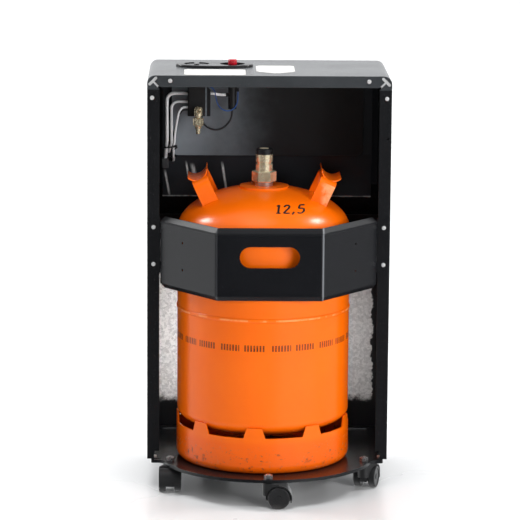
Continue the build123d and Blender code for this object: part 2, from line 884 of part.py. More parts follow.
# Wire guard over the window: a round rod loop on four legs with upright wires across it.
rod_y = front + guard_stand
guard_rod_width = window_width + 2 * guard_lap_x
guard_rod_height = window_height + 2 * guard_lap_z
wire_pitch = (guard_rod_width - 2 * guard_side_gap) / (guard_wire_count - 1)
wire_length = guard_rod_height - guard_rod_dia - 2 * guard_weld_gap
leg_x = guard_rod_width / 2 - guard_leg_inset
leg_spots = [(sx * leg_x, window_centre + sz * guard_rod_height / 2) for sx in (-1, 1) for sz in (-1, 1)]
with BuildSketch(rear_plane(rod_y)) as loop_plan:
    with Locations((0, window_centre)):
        RectangleRounded(guard_rod_width, guard_rod_height, guard_rod_corner_r)
loop_edges = loop_plan.sketch.edges()
with BuildPart() as wire_guard:
    for edge in loop_edges:
        with BuildSketch(Plane(origin=edge @ 0, z_dir=edge % 0)):
            Circle(guard_rod_dia / 2)
        sweep(path=edge)
    with BuildSketch(rear_plane(front)):
        with Locations(*leg_spots):
            Circle(guard_leg_dia / 2)
    extrude(amount=guard_stand, dir=(0, 1, 0))
    with BuildSketch(Plane.XY.offset(window_centre - wire_length / 2)):
        with Locations((0, rod_y)):
            with GridLocations(wire_pitch, 1, guard_wire_count, 1):
                Circle(guard_wire_dia / 2)
    extrude(amount=wire_length)
save(wire_guard, "wire_guard")

# Gas rail under the heads with one injector for each, and the pilot burner beside the plaques.
manifold_half_length = head_pitch + manifold_overhang
with BuildPart() as gas_manifold:
    with BuildSketch(side_plane(-manifold_half_length)):
        with Locations((rail_y, rail_z)):
            Circle(manifold_dia / 2)
    extrude(amount=2 * manifold_half_length)
    with BuildSketch(Plane.XY.offset(rail_z)):
        with Locations(*[(x, rail_y) for x in head_spots]):
            Circle(injector_dia / 2)
    extrude(amount=head_bottom - rail_z)
save(gas_manifold, "gas_manifold")

with BuildPart() as pilot_burner:
    with BuildSketch(Plane.XY.offset(pilot_z - pilot_body)):
        with Locations((pilot_x, pilot_y)):
            Rectangle(pilot_body, pilot_body)
    extrude(amount=pilot_body)
    chamfer(pilot_burner.edges().filter_by(Axis.Z), pilot_edge)
    with BuildSketch(Plane.XY.offset(pilot_z)):
        with Locations((pilot_x, pilot_y)):
            Circle(pilot_nozzle_dia / 2)
    extrude(amount=pilot_nozzle_height)
save(pilot_burner, "pilot_burner")

shelf_x = -frame_half_width + sheet
with BuildPart() as pilot_bracket:
    with BuildSketch(rear_plane(pilot_y - pilot_shelf / 2)):
        with BuildLine():
            Polyline(
                (shelf_x, pilot_z - pilot_body),
                (shelf_x + pilot_shelf, pilot_z - pilot_body),
                (shelf_x + pilot_shelf, pilot_z - pilot_body - pilot_sheet),
                (shelf_x + pilot_sheet, pilot_z - pilot_body - pilot_sheet),
                (shelf_x + pilot_sheet, pilot_z - pilot_body - pilot_leaf),
                (shelf_x, pilot_z - pilot_body - pilot_leaf),
                close=True,
            )
        make_face()
    extrude(amount=pilot_shelf, dir=(0, 1, 0))
save(pilot_bracket, "pilot_bracket")

# Controls: oval bezel with two cups, knob on its spindle and the igniter with its push button.
with BuildPart() as control_bezel:
    with BuildSketch(Plane.XY.offset(cab_top)):
        with Locations((bezel_x, bezel_y)):
            Ellipse(bezel_length / 2, bezel_width / 2)
    extrude(amount=bezel_height)
    fillet(control_bezel.edges().group_by(Axis.Z)[-1], bezel_edge_r)
    with BuildSketch(Plane.XY.offset(cab_top)):
        with Locations((knob_x, bezel_y), (button_x, bezel_y)):
            Circle(cup_dia / 2 + cup_wall)
    extrude(amount=cup_floor_top - bezel_floor - cab_top)
    with BuildSketch(Plane.XY.offset(cup_floor_top)):
        with Locations((knob_x, bezel_y), (button_x, bezel_y)):
            Circle(cup_dia / 2)
    extrude(amount=cup_depth, mode=Mode.SUBTRACT)
    with BuildSketch(Plane.XY.offset(cup_floor_top - bezel_floor)):
        with Locations((knob_x, bezel_y)):
            Circle(knob_hub_dia / 2 + hub_play)
        with Locations((button_x, bezel_y)):
            Circle(igniter_dia / 2 + igniter_play)
    extrude(amount=bezel_floor, mode=Mode.SUBTRACT)
save(control_bezel, "control_bezel")

knob_bottom = cup_floor_top + knob_push + knob_stop_gap
knob_top = bezel_top + knob_rise
hub_bottom = knob_bottom - knob_hub_drop
bore_top = knob_top - knob_bore_wall
spindle_tip = bore_top - knob_push - tip_gap


def spindle_section(play):
    """Round spindle with one flat, drawn out by play."""
    flat_y = bezel_y + spindle_dia / 2 - spindle_flat + play
    with BuildSketch() as section:
        with Locations((knob_x, bezel_y)):
            Circle(spindle_dia / 2 + play)
        with Locations((knob_x, flat_y + spindle_dia / 2)):
            Rectangle(2 * spindle_dia, spindle_dia, mode=Mode.SUBTRACT)
    return section.sketch


loose_section = spindle_section(running_gap)
close_section = spindle_section(0)
with BuildPart() as control_knob:
    with BuildSketch(Plane.XY.offset(knob_bottom)):
        with Locations((knob_x, bezel_y)):
            Circle(knob_dia / 2)
    extrude(amount=knob_skirt)
    with BuildSketch(Plane.XY.offset(knob_bottom)):
        with Locations((knob_x, bezel_y)):
            SlotOverall(knob_dia - knob_edge_r, knob_grip_width, rotation=90)
    extrude(amount=knob_top - knob_bottom)
    fillet(control_knob.faces().sort_by(Axis.Z)[-1].edges(), knob_edge_r)
    with BuildSketch(Plane.XY.offset(hub_bottom)):
        with Locations((knob_x, bezel_y)):
            Circle(knob_hub_dia / 2)
    extrude(amount=knob_bottom - hub_bottom)
    with BuildSketch(Plane.XY.offset(hub_bottom)):
        add(loose_section)
    extrude(amount=bore_top - hub_bottom, mode=Mode.SUBTRACT)
save(control_knob, "control_knob")

with BuildPart() as valve_spindle:
    with BuildSketch(Plane.XY.offset(valve_top - spindle_seat)):
        with Locations((knob_x, bezel_y)):
            Circle(spindle_dia / 2)
    extrude(amount=spindle_seat)
    with BuildSketch(Plane.XY.offset(valve_top)):
        add(close_section)
    extrude(amount=spindle_tip - valve_top)
save(valve_spindle, "valve_spindle")

cap_bottom = bezel_top + button_rise - button_cap_height
plunger_bottom = cap_bottom - plunger_length
with BuildPart() as igniter_button:
    with BuildSketch(Plane.XY.offset(cap_bottom)):
        with Locations((button_x, bezel_y)):
            Circle(button_dia / 2)
    extrude(amount=button_cap_height)
    fillet(igniter_button.edges().group_by(Axis.Z)[-1], button_edge_r)
    with BuildSketch(Plane.XY.offset(plunger_bottom)):
        with Locations((button_x, bezel_y)):
            Circle(plunger_dia / 2)
    extrude(amount=plunger_length)
save(igniter_button, "igniter_button")

igniter_bottom = cab_top - igniter_bottom_drop
igniter_top = cup_floor_top + igniter_flange_height
earth_terminal_z = cab_top - earth_terminal_drop
blue_terminal_z = cab_top - blue_terminal_drop
terminal_root = igniter_dia / 2 + terminal_reach
with BuildPart() as igniter_body:
    with BuildSketch(Plane.XY.offset(igniter_bottom)):
        with Locations((button_x, bezel_y)):
            Circle(igniter_dia / 2)
    extrude(amount=cup_floor_top - igniter_bottom)
    with BuildSketch(Plane.XY.offset(cup_floor_top)):
        with Locations((button_x, bezel_y)):
            Circle(igniter_flange_dia / 2)
    extrude(amount=igniter_flange_height)
    for side, z in ((-1, earth_terminal_z), (1, blue_terminal_z)):
        with BuildSketch(side_plane(button_x)):
            with Locations((bezel_y, z)):
                Rectangle(terminal_size, terminal_size)
        extrude(amount=side * terminal_root)
    with BuildSketch(Plane.XY.offset(plunger_bottom - button_travel - tip_gap)):
        with Locations((button_x, bezel_y)):
            Circle(plunger_dia / 2 + running_gap)
    extrude(amount=igniter_top - plunger_bottom + button_travel + tip_gap, mode=Mode.SUBTRACT)
save(igniter_body, "igniter_body")

with BuildPart() as igniter_nut:
    with BuildSketch(Plane.XY.offset(cup_floor_top - bezel_floor)):
        with Locations((button_x, bezel_y)):
            RegularPolygon(igniter_nut_dia / 2, 6)
            Circle(igniter_dia / 2, mode=Mode.SUBTRACT)
    extrude(amount=-igniter_nut_height)
save(igniter_nut, "igniter_nut")

# Gas valve: cast block with a round neck for the spindle, hung from the top by a bent bracket.
valve_block_top = valve_top - valve_neck_height
valve_left = knob_x - valve_width / 2
valve_right = knob_x + valve_width / 2
valve_rear = bezel_y - valve_depth / 2
valve_front = bezel_y + valve_depth / 2
with BuildPart() as gas_valve:
    with BuildSketch(Plane.XY.offset(valve_bottom)):
        with Locations((knob_x, bezel_y)):
            RectangleRounded(valve_width, valve_depth, valve_corner_r)
    extrude(amount=valve_block_top - valve_bottom)
    chamfer(gas_valve.edges().group_by(Axis.Z)[-1], valve_corner_r)
    with BuildSketch(Plane.XY.offset(valve_block_top)):
        with Locations((knob_x, bezel_y)):
            Circle(valve_neck_dia / 2)
    extrude(amount=valve_neck_height)
    with BuildSketch(Plane.XY.offset(valve_top - spindle_seat)):
        with Locations((knob_x, bezel_y)):
            Circle(spindle_dia / 2 + running_gap)
    extrude(amount=spindle_seat, mode=Mode.SUBTRACT)
save(gas_valve, "gas_valve")

hanger_front = bezel_y - cutout_width / 2 - cutout_play
hanger_rear = hanger_front - hanger_width
hanger_z = cab_top - hanger_drop
with BuildPart() as valve_bracket:
    with BuildSketch(side_plane(valve_right)):
        with BuildLine():
            Polyline(
                (valve_rear, valve_bottom),
                (bezel_y, valve_bottom),
                (valve_front, valve_bottom + valve_depth / 2),
                (valve_front, hanger_z - hanger_width),
                (bezel_y, hanger_z),
                (hanger_front, hanger_z),
                (hanger_front, cab_top - sheet),
                (hanger_rear, cab_top - sheet),
                (hanger_rear, hanger_z - hanger_width),
                (valve_rear, hanger_z - 2 * hanger_width),
                close=True,
            )
        make_face()
    extrude(amount=bracket_sheet)
    with BuildSketch(rear_plane(valve_rear)):
        with BuildLine():
            Polyline(
                (valve_right, valve_bottom),
                (valve_right + bracket_strip, valve_bottom),
                (valve_right + bracket_strip, cab_top - bracket_strip_drop),
                (valve_right, cab_top - bracket_strip_drop + bracket_strip),
                close=True,
            )
        make_face()
    extrude(amount=bracket_sheet, dir=(0, 1, 0))
    with BuildSketch(Plane.XY.offset(cab_top - sheet)):
        with Locations((valve_right + hanger_width / 2, (hanger_front + hanger_rear) / 2)):
            Rectangle(hanger_width, hanger_width)
    extrude(amount=-bracket_sheet)
save(valve_bracket, "valve_bracket")

# Gas inlet: brass elbow on the valve's rear face and the bare nozzle that a hose is pushed on.
elbow_top = cab_top - elbow_top_drop
elbow_bottom = elbow_top - elbow_height
plug_y = elbow_y - elbow_dia / 2 - plug_stand
with BuildPart() as inlet_elbow:
    with BuildSketch(Plane.XY.offset(elbow_bottom)):
        with Locations((elbow_x, elbow_y)):
            Circle(elbow_dia / 2)
    extrude(amount=elbow_height)
    fillet(inlet_elbow.edges().group_by(Axis.Z)[-1], elbow_edge_r)
    with BuildSketch(rear_plane(elbow_y)):
        with Locations((elbow_x, elbow_bottom + elbow_port_rise)):
            Circle(elbow_port_dia / 2)
    extrude(amount=valve_rear - elbow_y, dir=(0, 1, 0))
    with BuildSketch(rear_plane(plug_y)):
        with Locations((elbow_x, elbow_bottom + plug_rise)):
            Circle(plug_dia / 2)
    extrude(amount=elbow_y - plug_y, dir=(0, 1, 0))
    with BuildSketch(rear_plane(plug_y)):
        with Locations((elbow_x, elbow_bottom + plug_rise)):
            Circle(plug_hole_dia / 2)
    extrude(amount=plug_hole_depth, dir=(0, 1, 0), mode=Mode.SUBTRACT)
save(inlet_elbow, "inlet_elbow")

hex_top = elbow_bottom - nozzle_collar
hex_bottom = hex_top - nozzle_hex_height
nozzle_bottom = hex_bottom - nozzle_tail
neck_r = nozzle_tip_dia / 2 - nozzle_barb
with BuildPart() as hose_nozzle:
    with BuildSketch(Plane.XY.offset(hex_bottom)):
        with Locations((elbow_x, elbow_y)):
            RegularPolygon(nozzle_flats / 2, 6, major_radius=False)
    extrude(amount=nozzle_hex_height)
    hex_rims = hose_nozzle.edges().group_by(Axis.Z)
    chamfer(hex_rims[0] + hex_rims[-1], nozzle_edge)
    with BuildSketch(rear_plane(elbow_y)):
        with BuildLine():
            Polyline(
                (elbow_x, elbow_bottom),
                (elbow_x + elbow_port_dia / 2, elbow_bottom),
                (elbow_x + elbow_port_dia / 2, hex_top),
                (elbow_x + neck_r, hex_bottom + nozzle_tail / 2),
                (elbow_x + nozzle_root_dia / 2, hex_bottom),
                (elbow_x + nozzle_root_dia / 2 - nozzle_barb, hex_bottom - nozzle_tail / 3),
                (elbow_x + neck_r, hex_bottom - nozzle_tail / 3),
                (elbow_x + nozzle_tip_dia / 2, hex_bottom - nozzle_tail * 2 / 3),
                (elbow_x + neck_r, hex_bottom - nozzle_tail * 2 / 3),
                (elbow_x + neck_r, nozzle_bottom),
                (elbow_x, nozzle_bottom),
                close=True,
            )
        make_face()
    revolve(axis=Axis((elbow_x, elbow_y, 0), (0, 0, 1)))
    with BuildSketch(Plane.XY.offset(nozzle_bottom)):
        with Locations((elbow_x, elbow_y)):
            Circle(nozzle_bore / 2)
    extrude(amount=elbow_bottom - nozzle_bottom, mode=Mode.SUBTRACT)
save(hose_nozzle, "hose_nozzle")


# Tubes and leads: each one is swept along straight runs that are joined by tangent arcs.
def swept_tube(points, radii, dia, name):
    """Round tube along a route; prints its least bend, its length and its share of full volume."""
    with BuildPart() as tube:
        with BuildLine() as route:
            FilletPolyline(*points, radius=radii)
        line = route.wire()
        with BuildSketch(Plane(origin=line @ 0, z_dir=line % 0)):
            Circle(dia / 2)
        sweep(path=line)
    share = tube.part.volume / (pi * dia * dia / 4 * line.length)
    print(f"{name}: least bend {min(radii):.1f}, length {line.length:.1f}, share of volume {share:.4f}")
    return tube


def pipe(points, dia, bend, name):
    """Metal pipe with the same bend at every corner."""
    return swept_tube(points, [bend] * (len(points) - 2), dia, name)


def lead(points, dia, name):
    """Flexible lead whose bends are as large as its runs allow."""
    radii = []
    for before, corner, after in zip(points, points[1:], points[2:]):
        run_in = Vector(*corner) - Vector(*before)
        run_out = Vector(*after) - Vector(*corner)
        half_turn = radians(run_in.get_angle(run_out)) / 2
        radii.append(lead_bend_share * min(run_in.length, run_out.length) / tan(half_turn))
    return swept_tube(points, radii, dia, name)


gas_tube_main = pipe(
    [
        (valve_left, bezel_y, cab_top - 49),
        (pilot_x - 3, bezel_y, cab_top - 49),
        (pilot_x - 3, back + 146, cab_top - 130),
        (main_run_x, back + 168, main_inlet_z),
        (main_run_x, back + main_run_y, main_inlet_z),
        (main_run_x, back + main_run_y, rail_z),
        (main_run_x + 26, rail_y, rail_z),
        (-manifold_half_length, rail_y, rail_z),
    ],
    main_tube_dia,
    main_tube_bend,
    "gas_tube_main",
)
save(gas_tube_main, "gas_tube_main")

gas_tube_pilot = pipe(
    [
        (valve_left, back + 140, cab_top - 63),
        (pilot_x + 5, back + 140, cab_top - 63),
        (pilot_x + 5, back + 146, cab_top - 137),
        (pilot_x, back + 162, pilot_inlet_z),
        (pilot_x, pilot_y, pilot_inlet_z),
        (pilot_x, pilot_y, pilot_z + pilot_nozzle_height),
    ],
    pilot_tube_dia,
    pilot_tube_bend,
    "gas_tube_pilot",
)
save(gas_tube_pilot, "gas_tube_pilot")

pilot_rear = pilot_y - pilot_body / 2
pilot_lead_z = pilot_z - pilot_body / 2
interrupter_lead = lead(
    [
        (valve_left, back + 135, cab_top - 72),
        (pilot_x + 24, back + 135, cab_top - 72),
        (pilot_x + 18, back + 136, cab_top - 81),
        (pilot_x + 15, back + 139, cab_top - 96),
        (pilot_x + 12, back + 142, cab_top - 113),
        (pilot_x + 10, back + 147, cab_top - 136),
        (pilot_x + 8, back + 158, lead_hole_z + 13.5),
        (pilot_x + 8, back + 176, lead_hole_z + 0.5),
        (pilot_x + 8, back + 193, lead_hole_z - 1.5),
        (pilot_x + 5.5, back + 201, lead_hole_z - 15.5),
        (pilot_x + 3, pilot_rear - 8.5, pilot_lead_z),
        (pilot_x + 3, pilot_rear, pilot_lead_z),
    ],
    interrupter_dia,
    "interrupter_lead",
)
save(interrupter_lead, "interrupter_lead")

thermocouple_lead = lead(
    [
        (valve_left, back + 143, cab_top - 78),
        (pilot_x + 25, back + 143, cab_top - 78),
        (pilot_x + 18, back + 144, cab_top - 87),
        (pilot_x + 13, back + 147, cab_top - 103),
        (pilot_x + 8, back + 150, cab_top - 122),
        (pilot_x + 6, back + 155, cab_top - 140),
        (pilot_x + 5, back + 163, lead_hole_z + 16.5),
        (pilot_x + 4, back + 175, lead_hole_z + 4.5),
        (pilot_x + 3, back + 190, lead_hole_z + 1.5),
        (pilot_x - 1, back + 199, lead_hole_z - 11.5),
        (pilot_x - 2, pilot_rear - 9, pilot_lead_z),
        (pilot_x - 2, pilot_rear, pilot_lead_z),
    ],
    thermocouple_dia,
    "thermocouple_lead",
)
save(thermocouple_lead, "thermocouple_lead")

bracket_face = valve_right + bracket_sheet
earth_sleeve = lead(
    [
        (bracket_face, back + 140, cab_top - 48),
        (bracket_face + 11, back + 140, cab_top - 48),
        (button_x - terminal_root - 11, bezel_y, earth_terminal_z),
        (button_x - terminal_root, bezel_y, earth_terminal_z),
    ],
    sleeve_dia,
    "earth_sleeve",
)
save(earth_sleeve, "earth_sleeve")

ignition_lead = lead(
    [
        (button_x, bezel_y, igniter_bottom),
        (button_x, bezel_y, cab_top - 89.5),
        (button_x - 7, bezel_y - 2, cab_top - 102),
        (button_x - 18, bezel_y - 4, cab_top - 111),
        (button_x - 32, bezel_y - 5, cab_top - 113.5),
        (button_x - 45, bezel_y - 3, cab_top - 108.5),
        (knob_x + 9, bezel_y, cab_top - 98.5),
        (knob_x + 9, bezel_y, valve_bottom),
    ],
    ignition_lead_dia,
    "ignition_lead",
)
save(ignition_lead, "ignition_lead")

blue_end_x = button_x + terminal_root - blue_lead_dia
blue_lead = lead(
    [
        (bracket_face, bezel_y - 13, cab_top - 35),
        (bracket_face + 8, bezel_y - 13, cab_top - 35),
        (bracket_face + 15, bezel_y - 13, cab_top - 42),
        (bracket_face + 17, bezel_y - 13, cab_top - 55),
        (bracket_face + 20, bezel_y - 13, cab_top - 67),
        (bracket_face + 28, bezel_y - 13, cab_top - 76),
        (bracket_face + 39, bezel_y - 12, cab_top - 79),
        (bracket_face + 49, bezel_y - 9, cab_top - 75),
        (blue_end_x - 1, bezel_y - 4, cab_top - 66),
        (blue_end_x, bezel_y, cab_top - 56),
        (blue_end_x, bezel_y, blue_terminal_z - terminal_size / 2),
    ],
    blue_lead_dia,
    "blue_lead",
)
save(blue_lead, "blue_lead")

with BuildPart() as tube_clip:
    with BuildSketch(Plane.XY.offset(cab_top - 184)):
        with Locations((pilot_x - 6.5, back + 164)):
            RectangleRounded(clip_width, clip_depth, 2)
    extrude(amount=clip_height)
    add(gas_tube_main.part, mode=Mode.SUBTRACT)
save(tube_clip, "tube_clip")

# Guard band: bent sheet round the bottle with leaning lips, a rimmed hand slot and four hooks.
band_lean = atan2(guard_reach - guard_end_gap, guard_half_width - guard_face_half)
band_end = back - guard_end_gap
lip_rise = sqrt(guard_lip**2 - guard_lip_inset**2)
band_levels = [(guard_z, guard_lip_inset), (guard_z + lip_rise, 0)]
band_levels += [(guard_z + guard_height - lip_rise, 0), (guard_z + guard_height, guard_lip_inset)]


def band_plan(inset, end_y):
    """Plan of the band's outer face, drawn in by inset and closed along end_y."""
    fold_x = guard_face_half - inset * tan(band_lean / 2)
    fold_y = back - guard_reach + inset
    end_x = fold_x + (end_y - fold_y) / tan(band_lean)
    with BuildSketch() as plan:
        with BuildLine():
            Polyline((-end_x, end_y), (-fold_x, fold_y), (fold_x, fold_y), (end_x, end_y), close=True)
        make_face()
        fillet(plan.vertices().group_by(Axis.Y)[0], guard_bend_r - inset)
    return plan.sketch


def band_block(skin, end_y):
    """Block that fills the band up to skin below its outer face, with both lips leaning in."""
    with BuildPart() as block:
        for lower, upper in zip(band_levels, band_levels[1:]):
            for z, inset in (lower, upper):
                plan = band_plan(inset + skin, end_y)
                with BuildSketch(Plane.XY.offset(z)):
                    add(plan)
            loft(ruled=True)
    return block.part


band_outside = band_block(0, band_end)
band_inside = band_block(guard_sheet, band_end + guard_end_gap)
stud_y = back + stud_setback
slot_z = guard_z + slot_rise
hook_slot_r = stud_dia / 2 + hook_play
hook_length = stud_y + hook_slot_r + hook_edge - band_end
with BuildPart() as rear_guard:
    add(band_outside)
    add(band_inside, mode=Mode.SUBTRACT)
    with BuildSketch(rear_plane(back - guard_reach)):
        with Locations((0, slot_z)):
            SlotOverall(slot_length + 2 * guard_sheet, slot_height + 2 * guard_sheet)
    extrude(amount=slot_rim, dir=(0, 1, 0))
    with BuildSketch(rear_plane(back - guard_reach)):
        with Locations((0, slot_z)):
            SlotOverall(slot_length, slot_height)
    extrude(amount=slot_rim, dir=(0, 1, 0), mode=Mode.SUBTRACT)
    for side in (-1, 1):
        hole_x = guard_face_half + guard_hole_share * (guard_half_width - guard_face_half)
        hole_y = back - guard_reach + guard_hole_share * (guard_reach - guard_end_gap)
        outward = (side * sin(band_lean), -cos(band_lean), 0)
        with BuildSketch(Plane(origin=(side * hole_x, hole_y, guard_z), x_dir=(0, 0, 1), z_dir=outward)):
            with Locations(*[(rise, 0) for rise in guard_hole_rises]):
                Circle(guard_hole_dia / 2)
        extrude(amount=2 * guard_sheet, both=True, mode=Mode.SUBTRACT)
        with BuildSketch(side_plane(side * guard_half_width)):
            for rise in stud_rises:
                stud_z = guard_z + rise
                with Locations((band_end + hook_length / 2, stud_z + (hook_above - hook_below) / 2)):
                    Rectangle(hook_length, hook_above + hook_below)
                with Locations((stud_y, stud_z - hook_play + hook_rest_gap)):
                    Circle(hook_slot_r, mode=Mode.SUBTRACT)
                with Locations((stud_y, stud_z - hook_play + hook_rest_gap - hook_below / 2)):
                    Rectangle(2 * hook_slot_r, hook_below, mode=Mode.SUBTRACT)
        extrude(amount=-side * guard_sheet)
save(rear_guard, "rear_guard")

# Brackets on the flange and the headed studs that the band's hooks drop over.
leg_face = guard_half_width + hook_side_gap
with BuildPart() as guard_brackets:
    for side in (-1, 1):
        with BuildSketch(Plane.XY.offset(guard_z + bracket_rise)):
            with BuildLine():
                Polyline(
                    (side * leg_face, back - guard_sheet),
                    (side * (leg_face + bracket_plate), back - guard_sheet),
                    (side * (leg_face + bracket_plate), back),
                    (side * (leg_face + guard_sheet), back),
                    (side * (leg_face + guard_sheet), back - guard_sheet + bracket_leg),
                    (side * leg_face, back - guard_sheet + bracket_leg),
                    close=True,
                )
            make_face()
        extrude(amount=bracket_height)
        with BuildSketch(side_plane(side * leg_face)):
            with Locations(*[(stud_y, guard_z + rise) for rise in stud_rises]):
                Circle(stud_dia / 2)
        extrude(amount=side * guard_sheet, mode=Mode.SUBTRACT)
    with BuildSketch(rear_plane(back - guard_sheet)):
        with Locations(*bracket_screw_spots):
            Circle(screw_dia / 2 + screw_play)
        with Locations(*[(side * bracket_screw_x, guard_z + bracket_hole_rise) for side in (-1, 1)]):
            Circle(bracket_hole_dia / 2)
    extrude(amount=guard_sheet, dir=(0, 1, 0), mode=Mode.SUBTRACT)
save(guard_brackets, "guard_brackets")

stud_reach = guard_sheet + 2 * hook_side_gap
with BuildPart() as guard_studs:
    for side in (-1, 1):
        with BuildSketch(side_plane(side * (leg_face + guard_sheet))):
            with Locations(*[(stud_y, guard_z + rise) for rise in stud_rises]):
                Circle(stud_dia / 2)
        extrude(amount=-side * (guard_sheet + stud_reach))
        with BuildSketch(side_plane(side * (leg_face - stud_reach))):
            with Locations(*[(stud_y, guard_z + rise) for rise in stud_rises]):
                Circle(stud_head_dia / 2)
        extrude(amount=-side * stud_head_height)
save(guard_studs, "guard_studs")

# Gas bottle: welded shell of two domed halves on a foot ring with windows under the lower weld.
bottle_plane = Plane(origin=(bottle_x, bottle_y, cab_bottom), x_dir=(1, 0, 0), z_dir=(0, -1, 0))
bottle_axis = Axis((bottle_x, bottle_y, 0), (0, 0, 1))


def bottle_shape(skin):
    """Round-ended cylinder of the bottle, drawn in by skin."""
    r = bottle_r - skin
    dome = bottle_head_height - skin
    base = bottle_base_height - skin
    with BuildPart() as shape:
        with BuildSketch(bottle_plane):
            with BuildLine():
                EllipticalCenterArc((0, bottle_lower_tangent), r, base, 270, arc_size=90)
                Line((r, bottle_lower_tangent), (r, bottle_upper_tangent))
                EllipticalCenterArc((0, bottle_upper_tangent), r, dome, 0, arc_size=90)
                Line((0, bottle_upper_tangent + dome), (0, bottle_lower_tangent - base))
            make_face()
        revolve(axis=bottle_axis)
    return shape.part


shell_outside = bottle_shape(0)
shell_inside = bottle_shape(bottle_wall)
pad_top = cab_bottom + bottle_upper_tangent + bottle_head_height + pad_rise
with BuildPart() as bottle_body:
    add(shell_outside)
    with BuildSketch(bottle_plane):
        with Locations((bottle_r, weld_height)):
            Ellipse(weld_rise, weld_width / 2)
    revolve(axis=bottle_axis)
    with BuildSketch(Plane.XY.offset(pad_top)):
        with Locations((bottle_x, bottle_y)):
            Circle(pad_dia / 2)
    extrude(amount=-bottle_head_height / 4)
    add(shell_inside, mode=Mode.SUBTRACT)
    with BuildSketch(Plane.XY.offset(cab_bottom + bottle_upper_tangent)):
        with Locations((bottle_x, bottle_y)):
            Circle(bottle_bore / 2)
    extrude(amount=bottle_head_height + pad_rise, mode=Mode.SUBTRACT)
save(bottle_body, "bottle_body")

foot_r = bottle_r + foot_overhang
curl_in = foot_r - foot_curl_r
with BuildPart() as bottle_foot_ring:
    with BuildSketch(bottle_plane) as section:
        with BuildLine():
            Polyline(
                (foot_r, 0),
                (foot_r, foot_height),
                (foot_r - foot_wall, foot_height),
                (foot_r - foot_wall, foot_wall),
                (curl_in - foot_lip, foot_wall),
                (curl_in - foot_lip, 0),
                close=True,
            )
        make_face()
        outer_corner = section.vertices().sort_by(lambda v: v.Y - v.X)[0]
        fillet(outer_corner, foot_curl_r)
        inner_corner = section.vertices().sort_by_distance((foot_r - foot_wall, foot_wall))[0]
        fillet(inner_corner, foot_curl_r - foot_wall)
    revolve(axis=bottle_axis)
    for n in range(window_count):
        middle = radians(window_phase - 90 + n * 360 / window_count)
        outward = (cos(middle), sin(middle), 0)
        across = (-sin(middle), cos(middle), 0)
        centre = (bottle_x, bottle_y, cab_bottom + foot_height)
        with BuildSketch(Plane(origin=centre, x_dir=across, z_dir=outward)):
            with BuildLine():
                Polyline(
                    (-foot_window_width / 2, foot_lip),
                    (foot_window_width / 2, foot_lip),
                    (foot_window_width / 2, 0),
                    (foot_window_base / 2, -foot_window_height),
                    (-foot_window_base / 2, -foot_window_height),
                    (-foot_window_width / 2, 0),
                    close=True,
                )
            make_face()
        extrude(amount=foot_r, mode=Mode.SUBTRACT)
save(bottle_foot_ring, "bottle_foot_ring")


def bottle_handle(side):
    """Carrying handle: a bent strip on two legs that lean out, with a dished grip on top."""
    foot = (bottle_x + side * handle_foot_x, bottle_y, cab_bottom + handle_foot_z)
    lean = radians(handle_lean)
    across = (cos(lean), 0, -side * sin(lean))
    strip_top = handle_rise - handle_dish
    edge_z = handle_rise - handle_wall
    half = handle_grip / 2
    with BuildPart() as handle:
        with BuildSketch(Plane(origin=foot, x_dir=(0, 1, 0), z_dir=across)) as arch:
            with Locations((0, (strip_top - handle_root) / 2)):
                Rectangle(2 * handle_half_length, strip_top + handle_root)
            fillet(arch.vertices().group_by(Axis.Y)[-1], handle_bend_r)
        extrude(amount=handle_strip / 2, both=True)
        with BuildSketch(Plane(origin=foot, x_dir=(0, 1, 0), z_dir=across)) as hollow:
            with Locations((0, (strip_top - handle_root) / 2 - handle_wall)):
                Rectangle(2 * (handle_half_length - handle_wall), strip_top + handle_root)
            fillet(hollow.vertices().group_by(Axis.Y)[-1], handle_bend_r - handle_wall)
        extrude(amount=handle_strip / 2, both=True, mode=Mode.SUBTRACT)
        with BuildSketch(Plane(origin=foot, x_dir=across, z_dir=(0, -1, 0))):
            with BuildLine():
                ThreePointArc((-half, handle_rise), (0, strip_top), (half, handle_rise))
                Line((half, handle_rise), (half, edge_z))
                ThreePointArc((half, edge_z), (0, strip_top - handle_wall), (-half, edge_z))
                Line((-half, edge_z), (-half, handle_rise))
            make_face()
        extrude(amount=handle_half_length - handle_bend_r, both=True)
        add(shell_outside, mode=Mode.SUBTRACT)
    return handle


for word, side in (("left", -1), ("right", 1)):
    save(bottle_handle(side), f"bottle_handle_{word}")

# Bottle neck: welded ring, brass valve with hexagon and grooved barrel, and its sealing cap.
hex_seat = pad_top + neck_ring_height
with BuildPart() as bottle_neck_ring:
    with BuildSketch(Plane.XY.offset(pad_top)):
        with Locations((bottle_x, bottle_y)):
            Circle(neck_ring_dia / 2)
            Circle(bottle_bore / 2, mode=Mode.SUBTRACT)
    extrude(amount=neck_ring_height)
save(bottle_neck_ring, "bottle_neck_ring")

